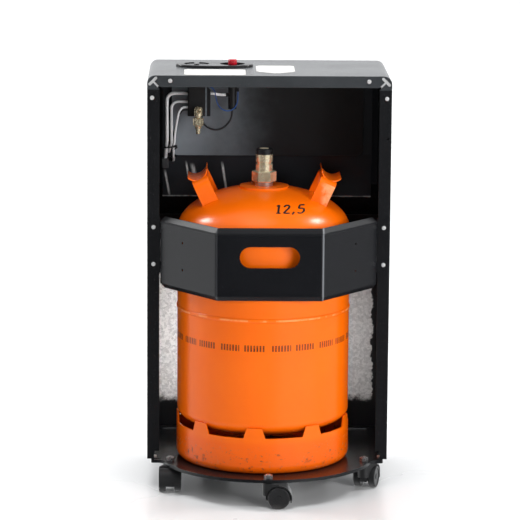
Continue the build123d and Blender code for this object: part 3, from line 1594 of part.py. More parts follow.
barrel_bottom = hex_seat + bottle_hex_height
barrel_top = barrel_bottom + barrel_height
with BuildPart() as bottle_valve:
    with BuildSketch(Plane.XY.offset(hex_seat)):
        with Locations((bottle_x, bottle_y)):
            RegularPolygon(bottle_hex_flats / 2, 6, major_radius=False)
    extrude(amount=bottle_hex_height)
    rims = bottle_valve.edges().group_by(Axis.Z)
    chamfer(rims[0] + rims[-1], bottle_hex_edge)
    with BuildSketch(Plane.XY.offset(barrel_bottom)):
        with Locations((bottle_x, bottle_y)):
            Circle(barrel_dia / 2)
    extrude(amount=barrel_height)
    with BuildSketch(Plane.XY.offset(barrel_bottom + groove_rise)):
        with Locations((bottle_x, bottle_y)):
            Circle(barrel_dia / 2 + groove_depth)
            Circle(barrel_dia / 2 - groove_depth, mode=Mode.SUBTRACT)
    extrude(amount=groove_width, mode=Mode.SUBTRACT)
    with BuildSketch(Plane.XY.offset(pad_top - bottle_valve_root)):
        with Locations((bottle_x, bottle_y)):
            Circle(bottle_bore / 2)
    extrude(amount=bottle_valve_root + neck_ring_height)
    with BuildSketch(Plane.XY.offset(barrel_top - mouth_depth)):
        with Locations((bottle_x, bottle_y)):
            Circle(mouth_dia / 2)
    extrude(amount=mouth_depth, mode=Mode.SUBTRACT)
save(bottle_valve, "bottle_valve")

with BuildPart() as bottle_valve_cap:
    with BuildSketch(Plane.XY.offset(barrel_top)):
        with Locations((bottle_x, bottle_y)):
            Circle(barrel_dia / 2)
    extrude(amount=cap_height)
    fillet(bottle_valve_cap.edges().group_by(Axis.Z)[-1], cap_edge_r)
save(bottle_valve_cap, "bottle_valve_cap")
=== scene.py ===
from math import cos, radians, sin

import bmesh
import bpy
from mathutils import Matrix, Vector


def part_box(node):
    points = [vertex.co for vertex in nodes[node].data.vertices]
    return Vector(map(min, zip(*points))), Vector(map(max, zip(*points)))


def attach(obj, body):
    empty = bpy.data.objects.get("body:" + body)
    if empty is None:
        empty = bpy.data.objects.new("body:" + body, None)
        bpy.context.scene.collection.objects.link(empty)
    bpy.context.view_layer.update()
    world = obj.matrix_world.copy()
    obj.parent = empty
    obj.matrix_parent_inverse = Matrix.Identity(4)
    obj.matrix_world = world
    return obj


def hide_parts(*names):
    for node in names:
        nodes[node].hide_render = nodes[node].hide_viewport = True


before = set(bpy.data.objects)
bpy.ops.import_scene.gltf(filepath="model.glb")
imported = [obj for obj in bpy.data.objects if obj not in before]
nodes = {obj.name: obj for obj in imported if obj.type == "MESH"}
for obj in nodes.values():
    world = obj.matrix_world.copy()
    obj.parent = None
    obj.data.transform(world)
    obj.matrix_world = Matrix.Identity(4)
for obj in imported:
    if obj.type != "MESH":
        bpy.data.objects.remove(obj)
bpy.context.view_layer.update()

# ---- Camera ----
# It looks at the open back from 5 m, a little above the cabinet, through a long lens.
# The look is 10.5 degrees down and one degree to the right of square.
eye_place = (-0.09856, -5.04043, 1.32555)
turn_right, look_down, roll = 0.963, 10.4525, 0.398
lens_length = 202.95
eye = bpy.data.cameras.new("eye")
eye.lens = lens_length
eye.clip_end = 50
camera = bpy.data.objects.new("camera", eye)
bpy.context.scene.collection.objects.link(camera)
camera.matrix_world = (Matrix.Translation(eye_place)
                       @ Matrix.Rotation(radians(-turn_right), 4, "Z")
                       @ Matrix.Rotation(radians(90 - look_down), 4, "X")
                       @ Matrix.Rotation(radians(roll), 4, "Z"))
bpy.context.scene.camera = camera

# ---- Floor and backdrop ----
# One pale sheet of a studio floor that runs up into its wall in a wide curve.
# Its surface is slightly glossy, so the castors stand in their own faint reflections.


class Wire:
    """One socket of a material's nodes. Sums, products and comparisons of wires add Math nodes."""

    def __init__(self, tree, socket=None):
        self.tree = tree
        self.socket = socket

    def node(self, kind, values=None, output=0, **settings):
        """Adds a node and returns the wire of one output. Settings come first, and then the
        values or wires of its input sockets, each by its name or its number."""
        made = self.tree.nodes.new("ShaderNode" + kind)
        for name, setting in settings.items():
            setattr(made, name, setting)
        for name, value in (values or {}).items():
            self.feed(made.inputs[name], value)
        return Wire(self.tree, made.outputs[output])

    def feed(self, socket, value):
        if isinstance(value, Wire):
            self.tree.links.new(value.socket, socket)
        elif isinstance(value, tuple) and socket.type == "RGBA":
            socket.default_value = (*value, 1)
        else:
            socket.default_value = value

    def math(self, operation, first, second=0.0, **settings):
        return self.node("Math", {0: first, 1: second}, operation=operation, **settings)

    def __add__(self, other): return self.math("ADD", self, other)
    def __radd__(self, other): return self.math("ADD", other, self)
    def __sub__(self, other): return self.math("SUBTRACT", self, other)
    def __rsub__(self, other): return self.math("SUBTRACT", other, self)
    def __mul__(self, other): return self.math("MULTIPLY", self, other)
    def __rmul__(self, other): return self.math("MULTIPLY", other, self)
    def __truediv__(self, other): return self.math("DIVIDE", self, other)
    def __rtruediv__(self, other): return self.math("DIVIDE", other, self)
    def __gt__(self, other): return self.math("GREATER_THAN", self, other)
    def __lt__(self, other): return self.math("LESS_THAN", self, other)
    def __abs__(self): return self.math("ABSOLUTE", self)

    def larger(self, other):
        return self.math("MAXIMUM", self, other)

    def fade(self, low, high):
        """0 up to low, 1 from high on, and a smooth rise between them."""
        return self.node("MapRange", {0: self, 1: low, 2: high}, interpolation_type="SMOOTHSTEP")

    def mix(self, first, second):
        """The first colour where this wire is 0, and the second where it is 1."""
        return self.node("Mix", {0: self, 6: first, 7: second}, output=2, data_type="RGBA")

    def axis(self, name):
        return self.node("SeparateXYZ", {0: self}, output=name)

    def facing(self, name):
        """How far the surface faces along an axis: 1 along it, -1 against it."""
        return self.node("NewGeometry", output="Normal").axis(name)

    def stretched(self, *scale):
        return self.node("Mapping", {"Vector": self, "Scale": scale})

    def noise(self, scale, detail=2.0, rough=0.5):
        return self.node("TexNoise", {"Vector": self, "Scale": scale, "Detail": detail,
                                      "Roughness": rough})

    def bump(self, depth, strength=1.0, under=None):
        """A normal with this wire as its relief, laid over another normal if one is given."""
        values = {"Height": self, "Distance": depth, "Strength": strength}
        if under is not None:
            values["Normal"] = under
        return self.node("Bump", values)


def finish(name):
    """A new material, and the wires that its finish starts from: the place on the piece in
    metres, the normal with its edges rounded by 0.8 mm, and a mask of those sharp edges."""
    material = bpy.data.materials.new(name)
    material.use_nodes = True
    base = Wire(material.node_tree)
    place = base.node("TexCoord", output="Object")
    rounded = base.node("Bevel", {"Radius": 0.0008}, samples=4)
    flat = base.node("NewGeometry", output="True Normal")
    alike = base.node("VectorMath", {0: rounded, 1: flat}, output="Value", operation="DOT_PRODUCT")
    return material, place, rounded, (1 - alike).fade(0.02, 0.2)


def shade(material, **sockets):
    """Feeds the main shader of a material: the socket names are given with _ for a space."""
    shader = material.node_tree.nodes["Principled BSDF"]
    base = Wire(material.node_tree)
    for name, value in sockets.items():
        base.feed(shader.inputs[name.replace("_", " ")], value)
    return material


def add_piece(name, shape, material):
    """Stands a piece of one material in the scene. Its shape is a curve, or a bmesh that is
    turned into a mesh here."""
    if isinstance(shape, bmesh.types.BMesh):
        data = bpy.data.meshes.new(name)
        shape.to_mesh(data)
        shape.free()
    else:
        data = shape
    data.materials.append(material)
    piece = bpy.data.objects.new(name, data)
    bpy.context.scene.collection.objects.link(piece)
    return piece


sweep_radius = 1.5
floor_start, floor_end = -7.0, 6.2
half_width, wall_top = 7.5, 5.0
profile = [(floor_start, 0.0), (floor_end, 0.0)]
profile += [(floor_end + sweep_radius * sin(radians(a)), sweep_radius * (1 - cos(radians(a))))
            for a in range(5, 91, 5)]
profile += [(floor_end + sweep_radius, wall_top)]
mesh = bmesh.new()
rows = [[mesh.verts.new((x, y, z)) for y, z in profile] for x in (-half_width, half_width)]
for a, b, c, d in zip(rows[0], rows[0][1:], rows[1][1:], rows[1]):
    mesh.faces.new((a, d, c, b)).smooth = True
paper, place, rounded, edge = finish("backdrop_paper")
mottle = place.noise(3.0, 3.0)
shade(paper, Base_Color=mottle.mix((0.74, 0.742, 0.745), (0.79, 0.792, 0.795)),
      Roughness=0.22 + mottle * 0.12)
backdrop = add_piece("backdrop", mesh, paper)
backdrop.visible_glossy = False

# ---- Studio light ----
# A white surround that is bright behind the heater and dark behind the camera, with a
# large softbox at the right front and rim lights behind. Two strips hidden by the bottle
# light the bare inner sheet, and two wide lamps whiten the floor far from the heater.
surround = bpy.data.worlds.new("surround")
surround.use_nodes = True
sky = Wire(surround.node_tree)
toward = sky.node("TexCoord", output="Generated")
right, behind, above = toward.axis("X"), toward.axis("Y"), toward.axis("Z")
diffuse_light = (behind.fade(-0.35, 0.45) * 0.66).larger(above.fade(0.35, 0.9) * 0.28)
left_mirror = behind.fade(-0.95, 0.35) * 0.85 * (1 - right.fade(-0.2, 0.3))
right_mirror = right.fade(0.12, 0.45) * (0.28 + (1 - behind.fade(-0.45, -0.15)) * 0.32)
mirror_light = left_mirror.larger(right_mirror).larger(behind.fade(0.45, 0.85))
seen = sky.node("LightPath", output="Is Camera Ray")
mirrored_ray = sky.node("LightPath", output="Is Glossy Ray")
strength = 0.05 + mirrored_ray * mirror_light + (1 - mirrored_ray) * diffuse_light
backing = surround.node_tree.nodes["Background"]
sky.feed(backing.inputs["Color"], (0.97, 0.985, 1.0))
sky.feed(backing.inputs["Strength"], (seen * 1.03).larger(strength))
bpy.context.scene.world = surround
for name, lamp_place, aim, width, height, watts, mirrored in (
        ("rim_left", (-2.4, 1.15, 2.6), (0, -0.1, 0.5), 0.8, 0.6, 60, True),
        ("rim_right", (2.1, 0.60, 2.6), (0, -0.1, 0.5), 0.7, 0.5, 36, True),
        ("softbox_left", (-1.9, -2.5, 1.6), (0, -0.1, 0.4), 0.7, 1.3, 4, False),
        ("softbox_right", (2.3, -2.5, 1.1), (0, -0.1, 0.3), 2.0, 1.2, 88, False),
        ("softbox_camera", (-0.10, -3.7, 0.72), (0, -0.1, 0.3), 0.4, 0.4, 10, False),
        ("strip_left", (-0.132, 0.10, 0.21), (-0.176, 0.19, 0.20), 0.02, 0.22, 0.16, False),
        ("strip_right", (0.116, 0.10, 0.21), (0.160, 0.19, 0.20), 0.02, 0.22, 0.10, False),
        ("softbox_above", (-0.3, -0.7, 3.0), (0, 0, 0.5), 1.4, 1.0, 30, False),
        ("backdrop_light", (0.0, 4.6, 4.4), (0, 5.4, 0.0), 5.0, 4.0, 330, False),
        ("floor_light", (0.0, -5.8, 4.2), (0, -5.8, 0.0), 6.0, 3.4, 260, False)):
    lamp = bpy.data.lights.new(name, "AREA")
    lamp.shape = "RECTANGLE"
    lamp.size = width
    lamp.size_y = height
    lamp.energy = watts
    light = bpy.data.objects.new(name, lamp)
    light.location = lamp_place
    beam = Vector(aim) - Vector(lamp_place)
    light.rotation_euler = beam.to_track_quat("-Z", "Y").to_euler()
    light.visible_glossy = mirrored
    light.visible_camera = False
    bpy.context.scene.collection.objects.link(light)
bpy.data.lights["floor_light"].spread = radians(85)
bpy.context.scene.view_settings.view_transform = "Standard"

# ---- Ignition lead ----
# A black insulated lead that runs from the piezo igniter's lower end in one slack loop
# to the back of the gas valve, where its spade sits on the spark terminal.


def lead_curve(name, route, diameter, material):
    """A round lead along one smooth line through the middle of its route, in metres."""
    data = bpy.data.curves.new(name, "CURVE")
    data.dimensions = "3D"
    data.resolution_u = 12
    data.bevel_depth = diameter / 2
    data.bevel_resolution = 5
    data.use_fill_caps = True
    line = data.splines.new("NURBS")
    line.points.add(len(route) - 1)
    for point, (x, y, z) in zip(line.points, route):
        point.co = (x, y, z, 1)
    line.order_u = 3
    line.use_endpoint_u = True
    return add_piece(name, data, material)


def insulation(name, dark, light, smoothest):
    """Extruded plastic insulation with a faint ripple."""
    skin, place, rounded, edge = finish(name)
    ripple = place.noise(900.0)
    return shade(skin, Base_Color=ripple.mix(dark, light), Roughness=smoothest + ripple * 0.15,
                 Normal=ripple.bump(0.0001))


black_skin = insulation("black_insulation", (0.010, 0.010, 0.011), (0.030, 0.030, 0.032), 0.36)
ignition = lead_curve("ignition_lead_line",
                      [(-0.063, 0.09575, 0.649), (-0.063, 0.09575, 0.6355),
                       (-0.070, 0.09375, 0.623), (-0.081, 0.09175, 0.614),
                       (-0.095, 0.09075, 0.6115), (-0.108, 0.09275, 0.6165),
                       (-0.117, 0.09575, 0.6265), (-0.117, 0.09575, 0.638)], 0.0034, black_skin)
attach(ignition, "heater")
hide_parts("ignition_lead")

# ---- Blue lead ----
# A thin blue wire from the earth tag on the valve's bracket up to the igniter's side
# terminal. It hangs in its own small loop beside the black one.
blue_skin = insulation("blue_insulation", (0.012, 0.045, 0.16), (0.03, 0.10, 0.33), 0.34)
blue = lead_curve("blue_lead_line",
                  [(-0.109, 0.08275, 0.690), (-0.101, 0.08275, 0.690), (-0.094, 0.08275, 0.683),
                   (-0.092, 0.08275, 0.670), (-0.089, 0.08275, 0.658), (-0.081, 0.08275, 0.649),
                   (-0.070, 0.08375, 0.646), (-0.060, 0.08675, 0.650), (-0.0542, 0.09175, 0.659),
                   (-0.0532, 0.09575, 0.669), (-0.0532, 0.09575, 0.680)], 0.0020, blue_skin)
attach(blue, "heater")
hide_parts("blue_lead")

# ---- Base plate ----
# A round pressed plate of black powder-coated steel that carries the bottle and the
# cabinet. The coat is a satin one with a fine orange peel, dust, and bright rubbed edges,
# and above the bend of the top sheet of the cabinet it is lightened by a painted sheen.


def cover(material, *names):
    """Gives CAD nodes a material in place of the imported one."""
    for name in names:
        nodes[name].data.materials.clear()
        nodes[name].data.materials.append(material)


top_bend = (0.699, 0.703)
black_coat, place, rounded, edge = finish("black_powder_coat")
peel = place.noise(1400.0)
cloud = place.noise(7.0, 4.0, 0.6)
dust = place.noise(520.0, 3.0, 0.7).fade(0.66, 0.72)
rub = edge * place.noise(60.0, 4.0, 0.7).fade(0.45, 0.7)
scuff = place.stretched(40.0, 40.0, 260.0).noise(1.0, 3.0, 0.7).fade(0.70, 0.76)
# painted sheen: the coat is lightened to grey above the bend of the top sheet
painted_top_sheen = place.axis("Z").fade(*top_bend) * (0.6 + place.noise(16.0, 3.0) * 0.8)
colour = cloud.mix((0.0060, 0.0062, 0.0072), (0.0100, 0.0104, 0.0118))
colour = (painted_top_sheen * 0.9).mix(colour, (0.040, 0.044, 0.048))
colour = (dust * 0.35).mix(colour, (0.10, 0.10, 0.10))
colour = (scuff * 0.25).mix(colour, (0.06, 0.06, 0.06))
colour = (rub * 0.35).mix(colour, (0.12, 0.12, 0.12))
shade(black_coat, Base_Color=colour, Roughness=0.17 + cloud * 0.12 + dust * 0.2 + scuff * 0.1,
      Normal=peel.bump(0.00012, 0.7, rounded))
cover(black_coat, "base_plate")

# ---- Castors ----
# Five twin-wheel furniture castors: a black nylon hood on a plated stem with its nut, and
# two wheels on a steel axle. The treads are greyed by the floor.
nylon, place, rounded, edge = finish("black_nylon")
grain = place.noise(1800.0)
cloud = place.noise(40.0, 4.0, 0.6)
near_floor = 1 - place.axis("Z").fade(0.0, 0.012)
grime = near_floor * cloud.fade(0.35, 0.6)
colour = cloud.mix((0.014, 0.014, 0.015), (0.026, 0.026, 0.027))
shade(nylon, Base_Color=(grime * 0.5).mix(colour, (0.09, 0.085, 0.08)),
      Roughness=0.27 + cloud * 0.12 + grime * 0.3, Normal=grain.bump(0.00010, 0.5, rounded))
plated_steel, place, rounded, edge = finish("plated_steel")
spot = place.noise(240.0, 4.0, 0.65)
shade(plated_steel, Base_Color=spot.mix((0.50, 0.50, 0.50), (0.80, 0.81, 0.83)),
      Metallic=0.88 + spot * 0.1, Roughness=0.18 + spot * 0.2,
      Normal=spot.bump(0.00010, 0.6, rounded))
cover(plated_steel, "castor_stems", "castor_nuts")
for number in range(1, 6):
    cover(nylon, f"castor_{number}_hood", f"castor_{number}_wheels")
    cover(plated_steel, f"castor_{number}_axle")

# ---- Cabinet sheet ----
# The wrapper is one folded black sheet: sides, top and the narrow rear flanges. Bright
# zinc gussets show in its corner reliefs, and zinc screws hold the panels to it.
cover(black_coat, "cabinet_wrapper", "burner_surround", "guard_brackets")
zinc, place, rounded, edge = finish("bright_zinc")
spot = place.noise(240.0, 4.0, 0.65)
stain = place.noise(30.0, 3.0)
shade(zinc, Base_Color=spot.mix((0.66, 0.66, 0.65), (0.90, 0.91, 0.92)),
      Metallic=0.45 + stain * 0.1, Roughness=0.24 + spot * 0.18 + stain * 0.1,
      Normal=spot.bump(0.00010, 0.6, rounded))
cover(zinc, "cabinet_screws", "corner_gussets", "guard_studs")

# ---- Front panel ----
# The lower front sheet, coated black on the outside. Inside it is bare galvanised steel up
# to the burner, with the black overspray drifting in from its edges. Painted shade darkens
# the bare metal towards the right.


def spangle(place, scale):
    """The random grey of each zinc crystal on a galvanised sheet."""
    crystals = place.node("TexVoronoi", {"Vector": place, "Scale": scale}, output="Color")
    return place.node("SeparateColor", {0: crystals}, output="Red")


bare_middle_x = -0.005
bare_foot, bare_top = (0.075, 0.135), (0.330, 0.345)
panel_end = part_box("front_panel")[1].x
panel, place, rounded, edge = finish("front_panel_two_sides")
x_at, z_at = place.axis("X"), place.axis("Z")
inward = place.facing("Y") < -0.5
drift = place.noise(34.0, 5.0, 0.75) * 0.05 - 0.025
spray = place.noise(160.0, 5.0, 0.8) * 0.9 - 0.45
across = abs(x_at - bare_middle_x) + drift * 0.55
side_paint = (across.fade(panel_end - 0.016, panel_end - 0.002) + spray * 0.6).fade(0.38, 0.62)
above_foot = ((z_at + drift * 0.9).fade(*bare_foot) + spray * 0.45).fade(0.30, 0.70)
bare_and_glint = inward * (1 - side_paint) * above_foot * (1 - z_at.fade(*bare_top))
crystal = spangle(place, 260.0)
speck = place.noise(420.0, 4.0, 0.7)
peel = place.noise(1400.0)
metal = (crystal * 0.35 + speck * 0.65).fade(0.25, 0.75)
metal = metal.mix((0.62, 0.625, 0.62), (0.98, 0.985, 0.97))
# painted shade: the bare metal darkens towards the right
metal = (x_at.fade(-0.10, 0.10) * 0.35).mix(metal, (0.25, 0.255, 0.25))
shade(panel, Base_Color=bare_and_glint.mix((0.008, 0.0083, 0.0093), metal), Metallic=bare_and_glint * 0.15,
      Roughness=0.36 + bare_and_glint * crystal * 0.15,
      Normal=(bare_and_glint * speck + (1 - bare_and_glint) * peel).bump(0.0001, 0.7, rounded))
cover(panel, "front_panel")

# ---- Heat shield ----
# The plate behind the burner, galvanised, a dull grey with faint clouds, and darkened
# by painted shade towards its right end.
shield, place, rounded, edge = finish("shield_with_painted_shade")
speck = place.noise(520.0, 4.0, 0.7)
cloud = place.noise(9.0, 5.0, 0.65)
# painted shade: the sheet darkens towards its right end
shade_to_right = (place.axis("X") + cloud * 0.10).fade(-0.15, 0.075)
painted_shade = place.math("ADD", shade_to_right * 0.95, cloud * 0.06, use_clamp=True)
shade(shield, Base_Color=painted_shade.mix((0.29, 0.325, 0.36), (0.006, 0.0066, 0.0074)),
      Metallic=0.3 - painted_shade * 0.25, Roughness=0.46 + speck * 0.12,
      Normal=speck.bump(0.0001, 0.7, rounded))
cover(shield, "heat_shield")

# ---- Burner frame ----
# The box sheet round the burner, glossy black. Pale upright streaks on it are painted
# reflections, and a broken painted highlight runs along its lower hem.
frame_hem = (0.4835, 0.4855)
frame_coat, place, rounded, edge = finish("frame_gloss_coat")
x_at, z_at = place.axis("X"), place.axis("Z")
peel = place.noise(700.0)
glint_breaks = place.stretched(900.0, 300.0, 60.0).noise(1.0, 4.0, 0.7)
# painted reflections: four pale upright streaks on the glossy sheet
painted_glints = []
for top_x, low_x, top_z, low_z, half_glint in ((-0.1827, -0.1744, 0.533, 0.484, 0.0020),
                                                (-0.1449, -0.1397, 0.549, 0.516, 0.0017),
                                                (-0.1342, -0.1271, 0.545, 0.513, 0.0036),
                                                (-0.0805, -0.0711, 0.548, 0.484, 0.0021)):
    centre = top_x + (top_z - z_at) * ((low_x - top_x) / (top_z - low_z))
    away = abs(x_at - centre) / half_glint
    glint = (1 - away.fade(0.10, 1.50)) * z_at.fade(low_z - 0.004, low_z + 0.012)
    painted_glints.append(glint * (1 - z_at.fade(top_z - 0.012, top_z + 0.002)))
bare_and_glint = painted_glints[0]
for glint in painted_glints[1:]:
    bare_and_glint = bare_and_glint.larger(glint)
bare_and_glint = bare_and_glint * (0.45 + glint_breaks.fade(0.35, 0.6) * 0.55)
hem = 1 - z_at.fade(*frame_hem)
# painted highlight: a broken pale line along the lower hem
bare_and_glint = bare_and_glint.larger(hem * place.noise(60.0, 3.0).fade(0.3, 0.6) * 0.5)
shade(frame_coat, Base_Color=bare_and_glint.mix((0.022, 0.024, 0.028), (0.86, 0.88, 0.88)),
      Metallic=bare_and_glint * 0.3, Roughness=0.13 + peel * 0.08 + bare_and_glint * 0.25,
      Normal=peel.bump(0.00008, 0.6, rounded))
cover(frame_coat, "burner_frame")

# ---- Burner plaques and heads ----
# Three porous ceramic plaques pierced with rows of fine holes, each hole coloured near-black
# as painted shade. Their faces are cream with faint brown heat marks, and each sits in a head
# pressed from galvanised sheet.
ceramic, place, rounded, edge = finish("pierced_ceramic")
rows_of_holes = place.node("TexVoronoi", {"Vector": place.stretched(1.0, 0.0, 1.0),
                                          "Scale": 330.0, "Randomness": 0.12})
pierced = rows_of_holes.fade(0.20, 0.34)
heat = place.noise(22.0, 4.0, 0.6)
clay = heat.mix((0.58, 0.47, 0.34), (0.80, 0.74, 0.64))
# painted shade: the holes are coloured near-black
shade(ceramic, Base_Color=pierced.mix((0.06, 0.045, 0.035), clay), Roughness=0.85 - heat * 0.1,
      Normal=pierced.bump(0.0008, 0.9, rounded))
cover(ceramic, "ceramic_plaques")
galvanised, place, rounded, edge = finish("galvanised_sheet")
crystal = spangle(place, 90.0)
speck = place.noise(420.0, 4.0, 0.7)
blotch = place.noise(12.0, 4.0, 0.6)
shade(galvanised,
      Base_Color=(crystal * 0.5 + speck * 0.5).mix((0.42, 0.43, 0.43), (0.74, 0.75, 0.75)),
      Metallic=0.45 + blotch * 0.1, Roughness=0.34 + crystal * 0.16 + blotch * 0.12,
      Normal=speck.bump(0.00008, 0.6, rounded))
cover(galvanised, "burner_heads", "pilot_bracket")

# ---- Reflector and wire guard ----
# A frame of bright rolled aluminium round the plaques, browned in places by the heat. The
# guard in front of it is welded from plated steel wire.
bright, place, rounded, edge = finish("bright_aluminium")
rolled = place.stretched(6.0, 900.0, 900.0).noise(1.0, 3.0, 0.6)
tint = place.noise(14.0, 4.0, 0.6)
shade(bright, Base_Color=tint.fade(0.5, 0.75).mix((0.80, 0.81, 0.82), (0.72, 0.62, 0.46)),
      Metallic=1.0, Roughness=0.12 + rolled * 0.2, Normal=rolled.bump(0.00006, 0.6, rounded))
cover(bright, "reflector")
plated, place, rounded, edge = finish("plated_wire")
spot = place.noise(160.0, 4.0, 0.65)
shade(plated, Base_Color=spot.mix((0.60, 0.60, 0.61), (0.82, 0.83, 0.84)), Metallic=1.0,
      Roughness=0.10 + spot * 0.16, Normal=spot.bump(0.00006))
cover(plated, "wire_guard")

# ---- Gas tubes ----
# Drawn alloy tubes with a faint die line, bent cold, that lead the gas from the valve to
# the manifold and the pilot. The two that show are brighter than the manifold.
tube, place, rounded, edge = finish("drawn_tube")
fine = place.noise(700.0, 3.0, 0.6)
cloud = place.noise(50.0, 3.0)
shade(tube, Base_Color=cloud.mix((0.62, 0.63, 0.64), (0.84, 0.85, 0.86)), Metallic=0.9,
      Roughness=0.26 + fine * 0.16, Normal=fine.bump(0.00005))
cover(tube, "gas_manifold")
bright_tube, place, rounded, edge = finish("bright_drawn_tube")
fine = place.noise(700.0, 3.0, 0.6)
shade(bright_tube, Base_Color=fine.mix((0.76, 0.77, 0.78), (0.93, 0.94, 0.95)),
      Metallic=0.3 + fine * 0.1, Roughness=0.24 + fine * 0.16, Normal=fine.bump(0.00005))
cover(bright_tube, "gas_tube_main", "gas_tube_pilot")

# ---- Gas valve and its bracket ----
# A die-cast valve body, painted black, under a bent steel bracket that hangs it from the
# top. A pale bluish painted highlight runs down the outer edge of the bracket.
edge_glint_x = -0.1100
casting, place, rounded, edge = finish("die_casting")
grit = place.noise(900.0, 4.0, 0.7)
cloud = place.noise(60.0, 3.0)
shade(casting, Base_Color=cloud.mix((0.012, 0.012, 0.013), (0.030, 0.030, 0.031)), Metallic=0.3,
      Roughness=0.42 + grit * 0.2, Normal=grit.bump(0.0002, 0.7, rounded))
cover(casting, "gas_valve")
cover(plated_steel, "valve_spindle")
bracket_coat, place, rounded, edge = finish("bracket_with_painted_glint")
scratch = place.noise(260.0, 4.0, 0.7)
# painted highlight: a pale bluish line along the bracket's outer edge
bare_and_glint = 1 - abs(place.axis("X") - edge_glint_x).fade(0.0008, 0.0028)
bare_and_glint = bare_and_glint * (0.6 + scratch.fade(0.3, 0.6) * 0.4)
shade(bracket_coat, Base_Color=bare_and_glint.mix((0.010, 0.0105, 0.012), (0.20, 0.225, 0.25)),
      Metallic=bare_and_glint * 0.3, Roughness=0.26 + scratch * 0.15,
      Normal=scratch.bump(0.00005, 0.6, rounded))
cover(bracket_coat, "valve_bracket")

# ---- Brass fittings ----
# The inlet elbow, the hose nozzle and the pilot burner are machined from brass and screwed
# together. Fine turning marks run round them, and they are dulled by handling.
brass, place, rounded, edge = finish("machined_brass")
cut = place.stretched(60.0, 60.0, 2600.0).noise(1.0)
tarnish = place.noise(120.0, 4.0, 0.6)
shade(brass, Base_Color=tarnish.fade(0.45, 0.80).mix((0.98, 0.86, 0.60), (0.66, 0.50, 0.28)),
      Metallic=0.70 + tarnish * 0.1, Roughness=0.11 + tarnish * 0.14 - edge * 0.03,
      Normal=cut.bump(0.00006, 0.6, rounded))
cover(brass, "inlet_elbow", "hose_nozzle", "pilot_burner")

# ---- Leads and sleeves ----
# White braided glass sleeves over the flame leads and a dark thermocouple. Their way
# through the burner's sheet is packed with one dark moulded bushing.
sleeve, place, rounded, edge = finish("braided_sleeve")
braid = place.node("TexWave", {"Vector": place, "Scale": 420.0, "Distortion": 0.4}, output="Fac",
                   bands_direction="DIAGONAL")
fibre = place.noise(1500.0)
shade(sleeve, Base_Color=(braid * 0.6 + fibre * 0.4).mix((0.74, 0.75, 0.76), (0.95, 0.96, 0.98)),
      Roughness=0.75 - fibre * 0.1, Normal=braid.bump(0.00015, 0.8))
cover(sleeve, "interrupter_lead", "earth_sleeve")
cover(black_skin, "thermocouple_lead")
bushing, place, rounded, edge = finish("dark_bushing")
grain = place.noise(1300.0)
bloom = place.noise(80.0, 4.0, 0.6)
shade(bushing, Base_Color=bloom.mix((0.035, 0.037, 0.040), (0.075, 0.078, 0.082)),
      Roughness=0.50 + grain * 0.15, Normal=grain.bump(0.0001, 0.6, rounded))
cover(bushing, "tube_clip")

# ---- Cable tie ----
# A thin nylon strap pulled tight round the tube and its leads, with the lock head on the
# left and a cut tail. Its strap is 2.5 mm wide and 1 mm thick.


def add_block(mesh, size, turn, place):
    corners = bmesh.ops.create_cube(mesh, size=1.0)["verts"]
    bmesh.ops.scale(mesh, vec=size, verts=corners)
    bmesh.ops.rotate(mesh, cent=(0, 0, 0), matrix=turn, verts=corners)
    bmesh.ops.translate(mesh, vec=place, verts=corners)


tie_x, tie_y, tie_z = -0.1727, 0.1040, 0.58023
radius_x, radius_y = 0.0118, 0.0098
half_strap, half_thickness = 0.00125, 0.0005
climb = 0.10
strap_path = [(tie_x + radius_x * cos(radians(a)), tie_y + radius_y * sin(radians(a)))
              for a in range(0, 360, 12)]
mesh = bmesh.new()
rings = []
for (x, y), (x_next, y_next) in zip(strap_path, strap_path[1:] + strap_path[:1]):
    out = Vector((y_next - y, x - x_next, 0)).normalized() * half_thickness
    z = tie_z + (x - tie_x) * climb
    rings.append([mesh.verts.new((x + side * out.x, y + side * out.y, z + lift * half_strap))
                  for side, lift in ((-1, -1), (1, -1), (1, 1), (-1, 1))])
for ring, after in zip(rings, rings[1:] + rings[:1]):
    for n in range(4):
        mesh.faces.new((ring[n], after[n], after[n - 1], ring[n - 1]))
add_block(mesh, (0.0050, 0.0038, 0.0044), Matrix.Rotation(radians(-24), 3, "Z"),
          (-0.1630, 0.0985, 0.5812))
tail_turn = Matrix.Rotation(radians(28), 3, "Z") @ Matrix.Rotation(radians(-26), 3, "X")
add_block(mesh, (0.0010, 0.0120, 0.0025), tail_turn, (-0.1622, 0.0925, 0.5790))
bmesh.ops.bevel(mesh, geom=mesh.edges[:], offset=0.00018, segments=2, affect="EDGES")
tie = add_piece("cable_tie", mesh, nylon)
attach(tie, "heater")

# ---- Controls ----
# A moulded oval bezel in black plastic with two cups. The left one holds the gas knob, and
# the right one the red button of the igniter, whose body is held by a nut underneath.
moulded, place, rounded, edge = finish("moulded_black")
grain = place.noise(2200.0)
cloud = place.noise(35.0, 3.0)
shade(moulded, Base_Color=cloud.mix((0.010, 0.010, 0.011), (0.020, 0.020, 0.021)),
      Roughness=0.18 + cloud * 0.12, Normal=grain.bump(0.0001, 0.5, rounded))
cover(moulded, "control_bezel", "control_knob", "igniter_body")
cover(plated_steel, "igniter_nut")
red, place, rounded, edge = finish("red_plastic")
grain = place.noise(1600.0)
shade(red, Base_Color=grain.mix((0.40, 0.004, 0.014), (0.56, 0.008, 0.022)),
      Roughness=0.22 + grain * 0.1, Coat_Weight=0.3 + grain * 0.1,
      Normal=grain.bump(0.00005, 0.5, rounded))
cover(red, "igniter_button")

